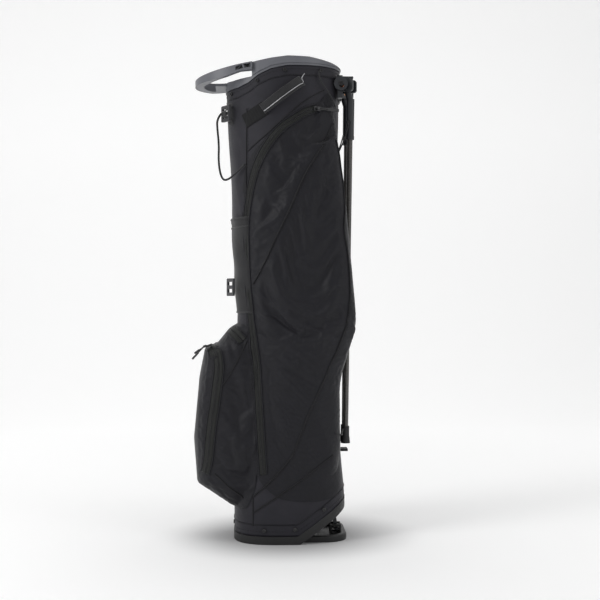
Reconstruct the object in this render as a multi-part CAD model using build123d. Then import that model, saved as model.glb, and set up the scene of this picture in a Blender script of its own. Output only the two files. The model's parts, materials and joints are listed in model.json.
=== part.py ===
from build123d import *
import os
from math import copysign, cos, pi, radians, sin, tan

# A golf stand bag, standing upright and empty.
# Millimetres. +Z is up and the floor is Z = 0. The legs hang on the +X side, the
# ball pocket and the lift handle are on the -X side, and the clothing pocket faces -Y.
# X = 0 is the middle of the bag's mouth.

os.makedirs("parts", exist_ok=True)

# ---- driving dimensions ------------------------------------------------------------

# The fabric tube: height, its -X end, its +X end, half its width along Y, squareness.
TUBE = [
    (0.0, -92.0, 115.0, 88.0, 3.0),
    (90.0, -92.0, 115.0, 88.0, 3.0),
    (180.0, -91.0, 108.0, 88.0, 2.8),
    (300.0, -89.0, 104.0, 88.0, 2.6),
    (430.0, -86.0, 102.5, 88.0, 2.4),
    (520.0, -92.0, 101.5, 89.0, 2.3),
    (710.0, -101.0, 102.5, 90.0, 2.2),
    (910.0, -111.5, 108.5, 92.0, 2.1),
]
FABRIC = 2.5  # thickness of the padded fabric wall
GAP = 0.3  # space between a curved piece and the piece it lies on
OVAL_POINTS = 24

# The base: a flat sole, then a slope that the bag leans back on.
HEEL_X = 28.0  # where the flat sole ends and the slope starts
SLOPE = radians(34.5)
TRIM = 15.0  # height of the moulded band around the base
BASE_GROW = 1.5  # how far the band stands out from the fabric
SKIRT = 6.0  # thickness of that band
FLOOR = 4.0
RISER_X = 12.0  # the flat floor ends here, at the foot's recess
HEM = 22.0  # upstand inside the fabric that the base screws go into
PANEL = 3.5

# The foot ring, hinged where the sole ends.
HINGE_X = 24.0
HINGE_Z = 6.0
FOOT_HIGH = 12.0
FOOT_END_X = 118.0
FOOT_HALF = 72.0
FOOT_BAR = 12.0
FOOT_CORNER = 40.0
FOOT_FLOOR = 2.5
FOOT_PIN_R = 3.0
RUNNING = 0.05

# The push rods and the drop link that the foot lifts them with.
ROD_X = 94.0
ROD_Y = 14.0
ROD_R = 2.0
ROD_LOW_Z = 50.0
ROD_TOP_Z = 706.0
LINK_END_X = 102.0
LINK_END_Z = 12.0
GUIDE_R = 4.0

# The legs.
PIVOT_X = 118.0
PIVOT_Y = 34.0
PIVOT_Z = 848.0
YAW = radians(25)  # how far the hinge pins turn away from the Y axis
LEG_END_X = 118.5
LEG_OFFSET = 9.0  # the tube's line passes this far outside the pin
LEG_END_Y = 12.0
LEG_END_Z = 176.0
LEG_R = 5.0
LEG_PIN_R = 4.0
BARREL_R = 8.5
BARREL = 14.0
CHEEK = 4.5

# The mouth of the bag.
THROAT = 8.0  # how far the rim reaches in from the fabric
DIVIDER_X = (-38.0, 30.0)
DIVIDER_LOW = 838.0
DIVIDER_HIGH = 864.0
COVER_X = 80.0  # inner face of the cover over the leg mechanism
COVER_HALF = 47.0


# ---- helpers -----------------------------------------------------------------------

def block(low, high):
    """A box between two corners."""
    size = Vector(*high) - Vector(*low)
    middle = (Vector(*high) + Vector(*low)) * 0.5
    return Pos(middle.X, middle.Y, middle.Z) * Box(size.X, size.Y, size.Z)


def slab(points, half=260.0):
    """A side-view outline in X and Z, extruded both ways along Y."""
    return extrude(Plane.XZ * make_face(Polyline(*points, close=True)), half, both=True)


def rod(start, end, radius):
    """A round bar between two points."""
    along = Vector(*end) - Vector(*start)
    return extrude(Plane(origin=start, z_dir=along) * Circle(radius), along.length)


def oval(z, left, right, half, power, grow=0.0, middle_y=0.0):
    """A closed outline at height z, between an ellipse and a rounded rectangle."""
    a = (right - left) / 2 + grow
    b = half + grow
    points = []
    for i in range(OVAL_POINTS):
        c = cos(2 * pi * i / OVAL_POINTS)
        s = sin(2 * pi * i / OVAL_POINTS)
        x = (left + right) / 2 + a * copysign(abs(c) ** (2 / power), c)
        y = middle_y + b * copysign(abs(s) ** (2 / power), s)
        points.append((x, y, z))
    return Wire(Spline(*points, periodic=True))


def blend(rows, z):
    """The row of a list of stations at height z."""
    for low, high in zip(rows, rows[1:]):
        if z <= high[0]:
            t = (z - low[0]) / (high[0] - low[0])
            return [a + t * (b - a) for a, b in zip(low, high)]
    return list(rows[-1])


def stack(rows, grow=0.0, low=None, high=None):
    """A solid through the stations of a list, from low to high."""
    low = rows[0][0] if low is None else low
    high = rows[-1][0] if high is None else high
    levels = [low] + [row[0] for row in rows if low < row[0] < high] + [high]
    wires = []
    for z in levels:
        row = blend(rows, z)
        row[0] = z
        wires.append(oval(*row[:5], grow=grow, middle_y=row[5] if len(row) > 5 else 0.0))
    return Solid.make_loft(wires, ruled=True)


def shell(outer, inner, low, high):
    """A ring of the tube's own shape, between two offsets from the fabric."""
    return stack(TUBE, outer, low, high) - stack(TUBE, inner, low, high)


def on_tube(x, z, side):
    """A plane on the tube at x and z, facing out; side is +1 for +Y or -1 for -Y."""
    _, left, right, half, power = blend(TUBE, z)
    a = (right - left) / 2
    u = (x - (left + right) / 2) / a
    v = (1 - abs(u) ** power) ** (1 / power)
    out = Vector(copysign(abs(u) ** (power - 1), u) / a, side * v ** (power - 1) / half, 0)
    return Plane(origin=(x, side * half * v, z), x_dir=(out.Y, -out.X, 0), z_dir=out)


def lift(plane, distance):
    """The same plane, moved out along its normal."""
    return Plane(origin=plane.origin + plane.z_dir * distance, x_dir=plane.x_dir, z_dir=plane.z_dir)


def above(distance):
    """Everything higher than the sole and the slope, moved up by distance."""
    rise = distance / cos(SLOPE)
    corner = HEEL_X - (rise - distance) / tan(SLOPE)
    far = 200.0
    top = 1000.0
    return slab([
        (-far, distance),
        (corner, distance),
        (far, (far - HEEL_X) * tan(SLOPE) + rise),
        (far, top),
        (-far, top),
    ])


def below_curve(points):
    """Everything under a side-view line, for trimming the mouth of the bag."""
    return slab([(points[0][0], -50.0)] + points + [(points[-1][0], -50.0)])


def route(points):
    """A cord's path: straight runs joined by the largest arcs that they leave room for."""
    places = [Vector(*p) for p in points]
    radii = []
    for a, b, c in zip(places, places[1:], places[2:]):
        turn = (b - a).get_angle(c - b)
        shorter = min((b - a).length, (c - b).length)
        radii.append(0.45 * shorter / tan(radians(turn) / 2))
    return FilletPolyline(*points, radius=radii), radii


def cord(points, radius):
    """A round cord along a route; it prints its length and its arcs."""
    path, radii = route(points)
    tube = sweep(Plane(origin=path @ 0, z_dir=path % 0) * Circle(radius), path=path)
    ideal = pi * radius ** 2 * path.length
    print(f"cord {path.length:.1f} long, volume {tube.volume / ideal:.3f}, radii",
          " ".join(f"{r:.1f}" for r in radii))
    return tube


def button_screws(planes, radius, high):
    """Round-headed screws, one on each plane."""
    heads = []
    for plane in planes:
        head = extrude(plane * Circle(radius), high)
        head = fillet(head.faces().sort_by_distance(plane.origin + plane.z_dir * 99)[0].edges(), 0.8)
        socket = extrude(lift(plane, high - 0.8) * RegularPolygon(radius * 0.45, 6), 2)
        heads.append(head - socket)
    return Compound(children=heads)


def mirrored(part):
    """The same piece for the far side."""
    return mirror(part, about=Plane.XZ)


def save(name, part):
    """Write one piece."""
    part.label = name
    export_step(part, f"parts/{name}.step")


# ---- base --------------------------------------------------------------------------

def make_base_tray():
    """Skirt, sole, the recess that the foot folds into, and the upstand for the fabric."""
    skirt = shell(BASE_GROW, BASE_GROW - SKIRT, 0, 120) & above(0) - above(TRIM)
    inside = stack(TUBE, BASE_GROW - SKIRT + 0.5, 0, 120)
    sole = inside & block((-120, -120, 0), (RISER_X, 120, FLOOR))
    riser = inside & block((RISER_X - PANEL, -120, 0), (RISER_X, 120, TRIM + PANEL))
    layer = above(TRIM - 0.5) - above(TRIM + PANEL - 0.5)
    layer = layer & block((RISER_X - PANEL, -120, 0), (140, 120, 140))
    panel = stack(TUBE, -FABRIC - GAP - 1.2, 0, 140) & layer
    upstand = shell(-FABRIC - GAP, -FABRIC - GAP - 2.5, 0, 160) & (above(TRIM - 1) - above(TRIM + HEM))
    tray = skirt + sole + riser + panel + upstand
    for side in (1, -1):
        lug = block((HINGE_X - 10, min(side * (FOOT_HALF + 0.8), side * 85), 0.5),
                    (HINGE_X + 10, max(side * (FOOT_HALF + 0.8), side * 85), TRIM))
        tray = tray + (lug & above(0.5))
        tray = tray - rod((HINGE_X, side * 58, HINGE_Z), (HINGE_X, side * 84, HINGE_Z), FOOT_PIN_R)
    slot = block((ROD_X - 24, -24, 30), (ROD_X + 13, 24, 110))
    return tray - slot


def make_foot_ring():
    """The U-shaped ring on the ground, with a thin floor that carries the slotted cradle."""
    outer = Pos((HINGE_X + FOOT_END_X) / 2, 0) * Rectangle(FOOT_END_X - HINGE_X, 2 * FOOT_HALF)
    outer = fillet(outer.vertices().group_by(Axis.X)[-1], FOOT_CORNER)
    inner_end = FOOT_END_X - FOOT_BAR
    inner = Pos((HINGE_X + inner_end) / 2, 0) * Rectangle(inner_end - HINGE_X, 2 * (FOOT_HALF - FOOT_BAR))
    inner = fillet(inner.vertices().group_by(Axis.X)[-1], FOOT_CORNER - FOOT_BAR)
    ring = extrude(outer - inner, FOOT_HIGH)
    ring = fillet(ring.edges().group_by(Axis.Z)[-1], 3)
    floor = extrude(inner, FOOT_FLOOR) & block((66, -80, 0), (140, 80, FOOT_FLOOR))
    ring = ring + floor
    for side in (1, -1):
        inside = side * (FOOT_HALF - FOOT_BAR)
        outside = side * FOOT_HALF
        ring = ring + rod((HINGE_X, inside, HINGE_Z), (HINGE_X, outside, HINGE_Z), FOOT_HIGH / 2)
        ring = ring - rod((HINGE_X, side * 50, HINGE_Z), (HINGE_X, side * 80, HINGE_Z),
                          FOOT_PIN_R + RUNNING)
        cheek = block((LINK_END_X - 13, min(side * 10.5, side * 14), FOOT_FLOOR - 0.5),
                      (LINK_END_X + 8, max(side * 10.5, side * 14), LINK_END_Z + 9))
        ring = ring + cheek
    window = block((LINK_END_X - 9, -20, LINK_END_Z - 6), (LINK_END_X + 4.5, 20, LINK_END_Z + 5.5))
    return ring - window


def make_foot_pins():
    """Two pins, fixed in the base, that the foot ring turns on."""
    pins = []
    for side in (1, -1):
        pins.append(rod((HINGE_X, side * (FOOT_HALF - FOOT_BAR - 1), HINGE_Z),
                        (HINGE_X, side * 83.5, HINGE_Z), FOOT_PIN_R))
    return Compound(children=pins)


def make_base_screws():
    """Button-head screws through the hem into the base's upstand."""
    places = [(-37, 26, -1), (19, 28, -1), (72, 63, -1), (-37, 26, 1), (19, 28, 1), (72, 63, 1)]
    planes = [lift(on_tube(x, z, side), GAP) for x, z, side in places]
    end = Plane(origin=(-92 - GAP, 0, 26), x_dir=(0, 1, 0), z_dir=(-1, 0, 0))
    return button_screws(planes + [end], 4.0, 2.0)


# ---- tube and dividers -------------------------------------------------------------

# Side-view edges at the mouth: the fabric's top, and the line between collar and rim.
FABRIC_TOP = [
    (-140, 838), (-85, 841), (-66, 848), (-48, 861), (-25, 871), (5, 877), (60, 879), (140, 882),
]
COLLAR_TOP = [
    (-140, 860), (-95, 855), (-62, 858), (-46, 867), (-25, 876), (5, 881), (60, 883), (140, 886),
]
RIM_TOP = [
    (-140, 868), (-91, 878), (-60, 884), (-25, 890), (5, 894), (45, 894), (88, 889), (140, 880),
]


def make_bag_tube():
    """The padded fabric tube, from the base's band up to the collar."""
    tube = shell(0, -FABRIC, 0, 900) & above(TRIM + 0.2) & below_curve(FABRIC_TOP)
    window = block((80, -COVER_HALF + 2, 800), (120, COVER_HALF - 2, 900))
    wire_slot = block((84, -34, 702), (115, -18, 738))
    return tube - window - wire_slot - mirrored(wire_slot)


def make_divider(x, low):
    """A fabric panel that hangs from the top divider down to the base."""
    inside = stack(TUBE, -FABRIC - 6.5, low, DIVIDER_LOW - 0.3)
    return inside & block((x - 0.8, -120, low), (x + 0.8, 120, DIVIDER_LOW - 0.3))


def make_stays():
    """Three straight glass-fibre rods that hold the tube open."""
    low = 46.0
    high = DIVIDER_LOW - 0.5
    return {
        "stay_front": rod((-78.5, 0, low), (-78.5, 0, high), 2.5),
        "stay_near": rod((0, -81.6, low), (0, -81.6, high), 2.5),
        "stay_far": rod((0, 81.6, low), (0, 81.6, high), 2.5),
    }


# ---- mouth -------------------------------------------------------------------------

def make_collar():
    """The lower moulding, stitched to the fabric, whose wall shows under the handle."""
    wall = shell(1.2, -THROAT + 4, 830, 900) & below_curve(COLLAR_TOP) - below_curve(
        [(x, z + 0.2) for x, z in FABRIC_TOP])
    sleeve = shell(-FABRIC - GAP, -THROAT + 2, DIVIDER_LOW, 900) & below_curve(
        [(x, z - 1) for x, z in COLLAR_TOP])
    shelf = block((-128, -27, 850), (-106, 27, 854.5))
    window = block((70, -COVER_HALF, 800), (125, COVER_HALF, 874))
    return wall + sleeve + shelf - window


def make_rim_handle():
    """The upper moulding: the rim round the mouth, running out into the lift handle."""
    line = [(x, z + 0.2) for x, z in COLLAR_TOP]
    ring = shell(2.6, -THROAT, 840, 900) & below_curve(RIM_TOP) - below_curve(line)
    ring = ring & block((-60, -120, 800), (140, 120, 920))
    middle = -60.0
    outer = Pos(middle, 0) * Ellipse(107, 88.4)
    inner = Pos(middle, 0) * Ellipse(90, 76)
    loop = extrude(outer - inner, 920) & block((-200, -120, 800), (middle + 0.5, 120, 920))
    low_line = [(-170, 851), (-136, 853), (-106, 859), (-80, 867), (-58, 869)]
    high_line = [(-170, 862), (-155, 865), (-91, 878), (-60, 884), (-58, 884.4)]
    loop = loop & slab(low_line + high_line[::-1])
    for corners in ([(-90, 868), (-76, 871.5), (-79, 878.5), (-90, 875)],
                    [(-73, 872), (-63, 873.5), (-63, 881), (-76, 878.5)]):
        loop = loop - slab(corners)
    return ring + loop


def make_top_divider():
    """The frame across the mouth that makes four ways for clubs."""
    ring = shell(-THROAT + 1.7, -THROAT - 1.5, DIVIDER_LOW, DIVIDER_LOW + 14)
    inside = stack(TUBE, -THROAT, DIVIDER_LOW, DIVIDER_HIGH)
    frame = ring
    for x in DIVIDER_X:
        frame = frame + (inside & block((x - 4, -100, DIVIDER_LOW), (x + 4, 100, DIVIDER_HIGH)))
    frame = frame + block((DIVIDER_X[0], -4, DIVIDER_LOW), (DIVIDER_X[1], 4, DIVIDER_HIGH))
    return frame - block((COVER_X - 1, -COVER_HALF - 1, 800), (130, COVER_HALF + 1, 900))


def make_mechanism_cover():
    """The guard between the clubs and the leg mechanism, open towards the legs."""
    low = 786.0
    high = 868.0
    outer = stack(TUBE, -FABRIC - 3.8, low, high) & block((COVER_X, -COVER_HALF, low), (130, COVER_HALF, high))
    inner = block((COVER_X + 2, -COVER_HALF + 2, 780), (130, COVER_HALF - 2, 866))
    return outer - inner


def make_collar_screws():
    """Button-head screws round the collar."""
    places = [
        (-97, 832, -1), (-50, 850, -1), (0, 868, -1), (66, 871, -1), (-97, 832, 1), (-50, 850, 1),
        (0, 868, 1),
    ]
    planes = [lift(on_tube(x, z, side), GAP) for x, z, side in places]
    return button_screws(planes, 3.6, 2.4)


# ---- legs --------------------------------------------------------------------------

PIVOT = Vector(PIVOT_X, -PIVOT_Y, PIVOT_Z)
SWING = Vector(cos(YAW), -sin(YAW), 0)
LEG_AXIS = Vector(-sin(YAW), -cos(YAW), 0)
HINGE = Plane(origin=PIVOT, x_dir=SWING, z_dir=LEG_AXIS)
LEG_TOP = PIVOT + SWING * LEG_OFFSET
LEG_END = Vector(LEG_END_X, -LEG_END_Y, LEG_END_Z)
LEG_DOWN = (LEG_END - LEG_TOP).normalized()
LEG_LONG = (LEG_END - LEG_TOP).length


def down_leg(distance):
    """The point that far down the near leg's tube line, from the height of its pin."""
    return LEG_TOP + LEG_DOWN * distance


def make_leg_socket():
    """The moulded knuckle that the tube is pressed into, hung outside its pin."""
    half = BARREL / 2
    barrel = extrude(lift(HINGE, -half) * Circle(BARREL_R), BARREL)
    neck = rod(PIVOT, down_leg(26), 6.2)
    grip = rod(down_leg(22), down_leg(98), 7.4)
    collar = rod(down_leg(91), down_leg(98), 7.9)
    socket = barrel + neck + grip + collar
    socket = socket - extrude(lift(HINGE, -20) * Circle(LEG_PIN_R + RUNNING), 40)
    return socket - rod(down_leg(52), down_leg(110), LEG_R)


def make_leg_tube():
    """The leg's tube, hollow, from inside the knuckle to inside the rubber foot."""
    low = LEG_LONG - 6
    return rod(down_leg(52), down_leg(low), LEG_R) - rod(down_leg(53), down_leg(low + 5), LEG_R - 1.2)


def make_leg_boot():
    """The rubber foot, flared at the toe."""
    start = LEG_LONG - 32
    sleeve = rod(down_leg(start), down_leg(LEG_LONG - 14), 7)
    toe_top = Plane(origin=down_leg(LEG_LONG - 16), z_dir=LEG_DOWN)
    toe_low = Plane(origin=down_leg(LEG_LONG), z_dir=LEG_DOWN)
    toe = loft([toe_top * Circle(7), toe_low * Circle(9)])
    return sleeve + toe - rod(down_leg(start - 2), down_leg(LEG_LONG - 6), LEG_R)


def make_leg_rivet():
    """The rivet across the knuckle that the push wire hooks on."""
    middle = down_leg(66)
    return rod(middle + LEG_AXIS * 7.7, middle + LEG_AXIS * 9.6, 3.2)


def make_leg_pin():
    """The hollow brass pin that the leg turns on."""
    half = BARREL / 2 + CHEEK + 0.6
    pin = extrude(lift(HINGE, -half) * Circle(LEG_PIN_R), 2 * half)
    return pin - extrude(lift(HINGE, -half - 1) * Circle(LEG_PIN_R - 1.3), 2 * half + 2)


def make_leg_yoke():
    """The bracket behind the collar: a back plate with four cheeks and a cap."""
    plate = block((100, -52, 826), (109.5, 52, 868))
    yoke = plate
    gap = BARREL / 2 + 0.4
    for z in (gap, -gap - CHEEK):
        cheek = HINGE * Pos(0, 3, z + CHEEK / 2) * Box(34, 24, CHEEK)
        cheek = fillet(cheek.edges().filter_by(lambda e: abs((e % 0.5).Z) < 0.1 and abs(
            (e % 0.5).dot(LEG_AXIS)) > 0.9), 5)
        yoke = yoke + cheek + mirrored(cheek)
    ear = rod((106, -57, 852), (106, -51, 852), 13)
    yoke = yoke + (ear + mirrored(ear))
    cap = block((104, -47, 863.5), (130, 47, 867))
    yoke = yoke + cap
    room = HINGE * Pos(-24, 0, 0) * Box(48, 60, BARREL + 0.8)
    swing = extrude(lift(HINGE, -gap) * Circle(BARREL_R + 1.0), 2 * gap)
    front = HINGE * Pos(20, -20, 0) * Box(60, 66, 2 * gap)
    for tool in (room, swing, front):
        yoke = yoke - tool - mirrored(tool)
    pin = extrude(lift(HINGE, -30) * Circle(LEG_PIN_R), 60)
    yoke = yoke - (pin + mirrored(pin))
    return yoke - stack(TUBE, 1.2 + GAP, 800, 900)


def make_yoke_screws():
    """The screws that hold the yoke's ears."""
    planes = []
    for side in (1, -1):
        planes.append(Plane(origin=(106, side * 57.0, 852), x_dir=(1, 0, 0), z_dir=(0, side, 0)))
    return button_screws(planes, 4.5, 2.2)


# ---- push rods ---------------------------------------------------------------------

def make_push_rod():
    """One wire bent into a U: two uprights in their guides, joined by a bar at the foot."""
    path = FilletPolyline(
        (ROD_X, -ROD_Y, ROD_TOP_Z),
        (ROD_X, -ROD_Y, ROD_LOW_Z),
        (ROD_X, ROD_Y, ROD_LOW_Z),
        (ROD_X, ROD_Y, ROD_TOP_Z),
        radius=5,
    )
    return sweep(Plane(origin=path @ 0, z_dir=path % 0) * Circle(ROD_R), path=path)


def make_crosshead():
    """The block on top of the rods that holds the lower ends of both push wires."""
    head = block((ROD_X - 6, -20, ROD_TOP_Z - 14), (ROD_X + 3, 20, ROD_TOP_Z + 9))
    head = fillet(head.edges().filter_by(Axis.Y), 2)
    for side in (1, -1):
        head = head - rod((ROD_X, side * ROD_Y, ROD_TOP_Z - 20), (ROD_X, side * ROD_Y, ROD_TOP_Z), ROD_R)
    return head


def make_rod_guides():
    """Two tubes that the rods slide in, fixed along the bag's spine."""
    guides = []
    for side in (1, -1):
        low = 112.0
        high = 640.0
        guide = rod((ROD_X, side * ROD_Y, low), (ROD_X, side * ROD_Y, high), GUIDE_R)
        bore = rod((ROD_X, side * ROD_Y, low - 1), (ROD_X, side * ROD_Y, high + 1), ROD_R + 0.3)
        guides.append(guide - bore)
    return Compound(children=guides)


def make_drop_link():
    """The strut between the foot's cradle and the bar of the push rod."""
    top = Vector(ROD_X, 0, ROD_LOW_Z)
    end = Vector(LINK_END_X, 0, LINK_END_Z)
    along = end - top
    plane = Plane(origin=(top + end) * 0.5, x_dir=(0, 1, 0), z_dir=along)
    strut = plane * Box(13, 7, along.length)
    eye = rod((ROD_X, -6.5, ROD_LOW_Z), (ROD_X, 6.5, ROD_LOW_Z), 5)
    foot = rod((LINK_END_X, -6.5, LINK_END_Z), (LINK_END_X, 6.5, LINK_END_Z), 4.5)
    pin = rod((LINK_END_X, -15.5, LINK_END_Z), (LINK_END_X, 15.5, LINK_END_Z), 2)
    link = strut + eye + foot + pin
    return link - rod((ROD_X, -20, ROD_LOW_Z), (ROD_X, 20, ROD_LOW_Z), ROD_R + RUNNING)


# ---- pockets -----------------------------------------------------------------------

# Each row: height, -X end, +X end, half width along Y, squareness, middle along Y.
BALL_POCKET = [
    (68.0, -108.0, -60.0, 56.0, 2.6, 0.0),
    (106.0, -163.0, -60.0, 75.0, 3.0, 0.0),
    (190.0, -169.0, -60.0, 78.0, 3.2, 0.0),
    (300.0, -159.0, -60.0, 78.0, 3.2, 0.0),
    (357.0, -148.5, -60.0, 76.0, 3.2, 0.0),
    (365.5, -126.5, -60.0, 73.5, 3.0, 0.0),
    (402.0, -97.0, -60.0, 64.0, 2.6, 0.0),
]
SIDE_POCKET = [
    (98.0, -36.0, 109.0, 43.0, 2.4, -49.0),
    (214.0, -46.0, 104.5, 45.0, 2.3, -50.0),
    (300.0, -51.0, 104.0, 47.0, 2.2, -50.0),
    (352.0, -56.0, 121.0, 50.0, 2.2, -51.0),
    (402.0, -60.0, 136.0, 53.0, 2.2, -52.0),
    (520.0, -70.0, 125.5, 51.0, 2.2, -52.0),
    (610.0, -72.0, 117.0, 49.0, 2.2, -52.0),
    (690.0, -56.0, 108.0, 46.0, 2.2, -51.0),
    (750.0, -17.0, 99.5, 42.0, 2.2, -50.0),
    (818.0, 52.0, 91.0, 37.0, 2.2, -36.0),
]
LEG_SPACE_Y = -50.0  # the clothing pocket stays on this side of the legs
SIDE_ZIP = [
    (57, 800), (38, 793), (21, 782), (0, 768), (-17, 751), (-34, 728), (-47, 704), (-56, 680),
    (-63, 650), (-68, 615), (-70, 583), (-69, 540), (-67, 480), (-62, 420), (-56, 370), (-51, 325),
    (-48, 270), (-45, 220), (-42, 170), (-39, 128),
]
SIDE_ZIP_HALF = 6.0
BALL_ZIP = [
    (-147, 368), (-147, 355), (-132, 334), (-131, 313), (-137, 268), (-146, 215), (-152, 144), (-154, 122),
    (-142, 120), (-133, 139), (-129, 170), (-123, 224), (-116, 278), (-111, 322), (-112, 336),
    (-122, 360), (-126, 368),
]
SHOULDER_ZIP = [(-104, 391), (-95, 401), (-70, 382), (-82, 361)]
PATCH = [(-72, 786), (-48, 804), (-28, 791), (-70, 763)]


def near_side(part):
    """The half of a piece that faces -Y."""
    return part & block((-250, -250, -10), (250, 0, 950))


def make_ball_pocket():
    """The ball pocket with the small pocket on its shoulder."""
    return stack(BALL_POCKET) - stack(TUBE, GAP, 40, 430)


def make_side_pocket():
    """The long clothing pocket, which bulges past the tube beside the legs."""
    pocket = stack(SIDE_POCKET) - stack(TUBE, GAP, 60, 860)
    return pocket - block((-250, LEG_SPACE_Y, 0), (250, 100, 950))


def make_side_zip(pocket):
    """The zip's tape with its closed coil, along the pocket's front edge."""
    left = []
    right = []
    for i, (x, z) in enumerate(SIDE_ZIP):
        before = SIDE_ZIP[max(i - 1, 0)]
        after = SIDE_ZIP[min(i + 1, len(SIDE_ZIP) - 1)]
        along = Vector(after[0] - before[0], after[1] - before[1], 0).normalized()
        left.append((x - along.Y * SIDE_ZIP_HALF, z + along.X * SIDE_ZIP_HALF))
        right.append((x + along.Y * SIDE_ZIP_HALF, z - along.X * SIDE_ZIP_HALF))
    band = shell(1.9, GAP, 90, 850) & slab(left + right[::-1])
    return near_side(band) - pocket


def on_ball_pocket(points):
    """A thin band on the ball pocket's surface, inside a side-view outline."""
    skin = stack(BALL_POCKET, 1.7) - stack(BALL_POCKET, GAP)
    return (skin & slab(points)) - stack(TUBE, GAP, 40, 430)


def make_bottle_sleeve():
    """A stretch sleeve on the front of the tube, open at the top."""
    return shell(3.4, 1.8, 425, 600) & block((-130, -54, 420), (-66, 54, 605))


def ladder_lock(plane, width, high, thick):
    """A ladder-lock buckle: a plate with two slots and a raised middle bar."""
    plate = plane * Pos(0, 0, thick / 2) * Box(width, high, thick)
    plate = fillet(plate.edges().filter_by(lambda e: abs((e % 0.5).dot(plane.z_dir)) > 0.9), 2.5)
    slot = Box(width - 8, high * 0.2, 3 * thick)
    plate = plate - plane * Pos(0, high * 0.2, 0) * slot - plane * Pos(0, -high * 0.2, 0) * slot
    return plate + plane * Pos(0, 0, thick) * Box(width - 4, high * 0.12, 1.6)


def facing(x, y, z, turn):
    """A plane at a point whose normal is turned about Z from -X towards -Y."""
    out = Vector(-cos(turn), -sin(turn), 0)
    return Plane(origin=(x, y, z), x_dir=(-out.Y, out.X, 0), z_dir=out)


# ---- zip sliders -------------------------------------------------------------------

SIDE_SLIDER = (57.0, 799.0)
SIDE_SLIDER_LIFT = 3.9
PULL_POST = 1.5
BALL_SLIDER = (-139.0, -50.0, 361.9)
BALL_SLIDER_TILT = 21.1
BALL_PIN_X = -8.5
BALL_PIN_Z = 3.4


def make_side_slider():
    """The slider of the clothing pocket's zip, with a headed post for its pull."""
    plane = lift(on_tube(SIDE_SLIDER[0], SIDE_SLIDER[1], -1), SIDE_SLIDER_LIFT)
    body = plane * Pos(0, 0, 1.6) * Box(13, 8, 3.2)
    post = plane * Pos(0, 0, 5.2) * Cylinder(PULL_POST, 4.4)
    head = plane * Pos(0, 0, 7.5) * Cylinder(PULL_POST + 1.1, 0.8)
    return body + post + head


def make_side_pull():
    """A ring on the slider's post, with two cords and a moulded grip."""
    plane = lift(on_tube(SIDE_SLIDER[0], SIDE_SLIDER[1], -1), SIDE_SLIDER_LIFT + 5.7)
    ring = plane * (Cylinder(PULL_POST + 1.8, 2.2) - Cylinder(PULL_POST + 0.3, 4))
    cords = []
    for s in (1.3, -1.3):
        start = plane.from_local_coords(Vector(-2.6, s, 0))
        cords.append(rod(start, start - plane.x_dir * 18, 1.0))
    grip = plane * Pos(-32, 0, 0) * Box(25, 6, 3.4)
    grip = fillet(grip.edges(), 1.2)
    return ring + cords[0] + cords[1] + grip


def on_ball_slider(x, y, z):
    """A point given in the ball slider's own tilted frame."""
    return Pos(*BALL_SLIDER) * Rot(0, -BALL_SLIDER_TILT, 0) * Pos(x, y, z)


def make_ball_slider():
    """The slider of the ball pocket's zip, with two cheeks that hold its pull's pin."""
    body = on_ball_slider(0, 0, 1.8) * Box(12, 16, 3.6)
    for side in (1, -1):
        body = body + on_ball_slider(-7.25, side * 3.9, 3.2) * Box(6.5, 1.4, 4)
    pin = on_ball_slider(BALL_PIN_X, 0, BALL_PIN_Z) * Rot(90, 0, 0) * Cylinder(1.0, 8)
    return body + pin


def make_ball_pull():
    """A barrel on the slider's pin, with two cords that end in moulded tips."""
    at_pin = on_ball_slider(BALL_PIN_X, 0, BALL_PIN_Z)
    pull = at_pin * Rot(90, 0, 0) * (Cylinder(2.1, 5.2) - Cylinder(1.3, 8))
    for side, reach, drop in ((1, 18, 13), (-1, 22.5, 24)):
        along = Vector(-reach, side * 2.2, -drop)
        start = at_pin.position + Vector(0, side * 1.1, 0) + along.normalized() * 1.75
        middle = start + along * 0.42
        pull = pull + rod(start, middle, 1.0) + rod(middle, start + along * 0.93, 1.9)
    return pull


# ---- straps, handles and cords -----------------------------------------------------

TAPE_LOOP = [
    (-116.4, -43, 796), (-125, -42, 786), (-124, -43, 766), (-121, -43.5, 737), (-122, -43, 708),
    (-119, -44, 684), (-113, -46, 671), (-104, -50, 672), (-95, -56, 678), (-85, -64, 687),
    (-73, -71, 698),
]
TETHER = [
    (63, -82, 869), (63.5, -82.5, 859), (67, -81, 849), (75, -76, 840), (83, -72, 830), (90, -65, 818),
    (95.5, -58.5, 806),
]
KEEPER = [
    (94, -78, 203), (101, -71.5, 200), (107.5, -62, 197.5), (108.5, -50, 197), (109, -40, 199),
    (111.5, -30, 201), (113.2, -19.7, 203),
]
PUSH_WIRE = [
    (121.3, -45.8, 780), (118.5, -45.2, 766), (113.5, -43, 750), (107.5, -38, 735), (101.5, -31, 722),
    (97, -25, 713.5), (94, -21.6, 708),
]
GRAB = [
    (-41, -90.2, 796), (-29, -97, 804), (-11, -105, 817), (8, -105.5, 831), (23, -99, 842.5),
    (31, -92.5, 848.5),
]
STRAP = [
    (-67, 82.5, 826), (-66, 92, 800), (-72, 108, 755), (-75, 117, 700), (-76, 119, 640),
    (-75, 113, 580), (-71, 99, 530), (-66, 82, 492), (-63, 74.5, 470),
]


def webbing(points, width, thick, across):
    """A flat band along a route, as wide as stated along the direction across."""
    path, _ = route(points)
    start = Plane(origin=path @ 0, x_dir=across, z_dir=path % 0)
    return sweep(start * Rectangle(width, thick), path=path)


def make_shoulder_strap():
    """The padded carrying strap on the far side."""
    out = Vector(-0.5, 0.86, 0)
    return webbing(STRAP, 52, 9, (out.Y, -out.X, 0))


def make_leg_tab():
    """The folded webbing tab under the legs' feet."""
    return block((104, -34, 163), (121, -9, 167.5)) - stack(TUBE, GAP, 100, 220)


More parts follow.
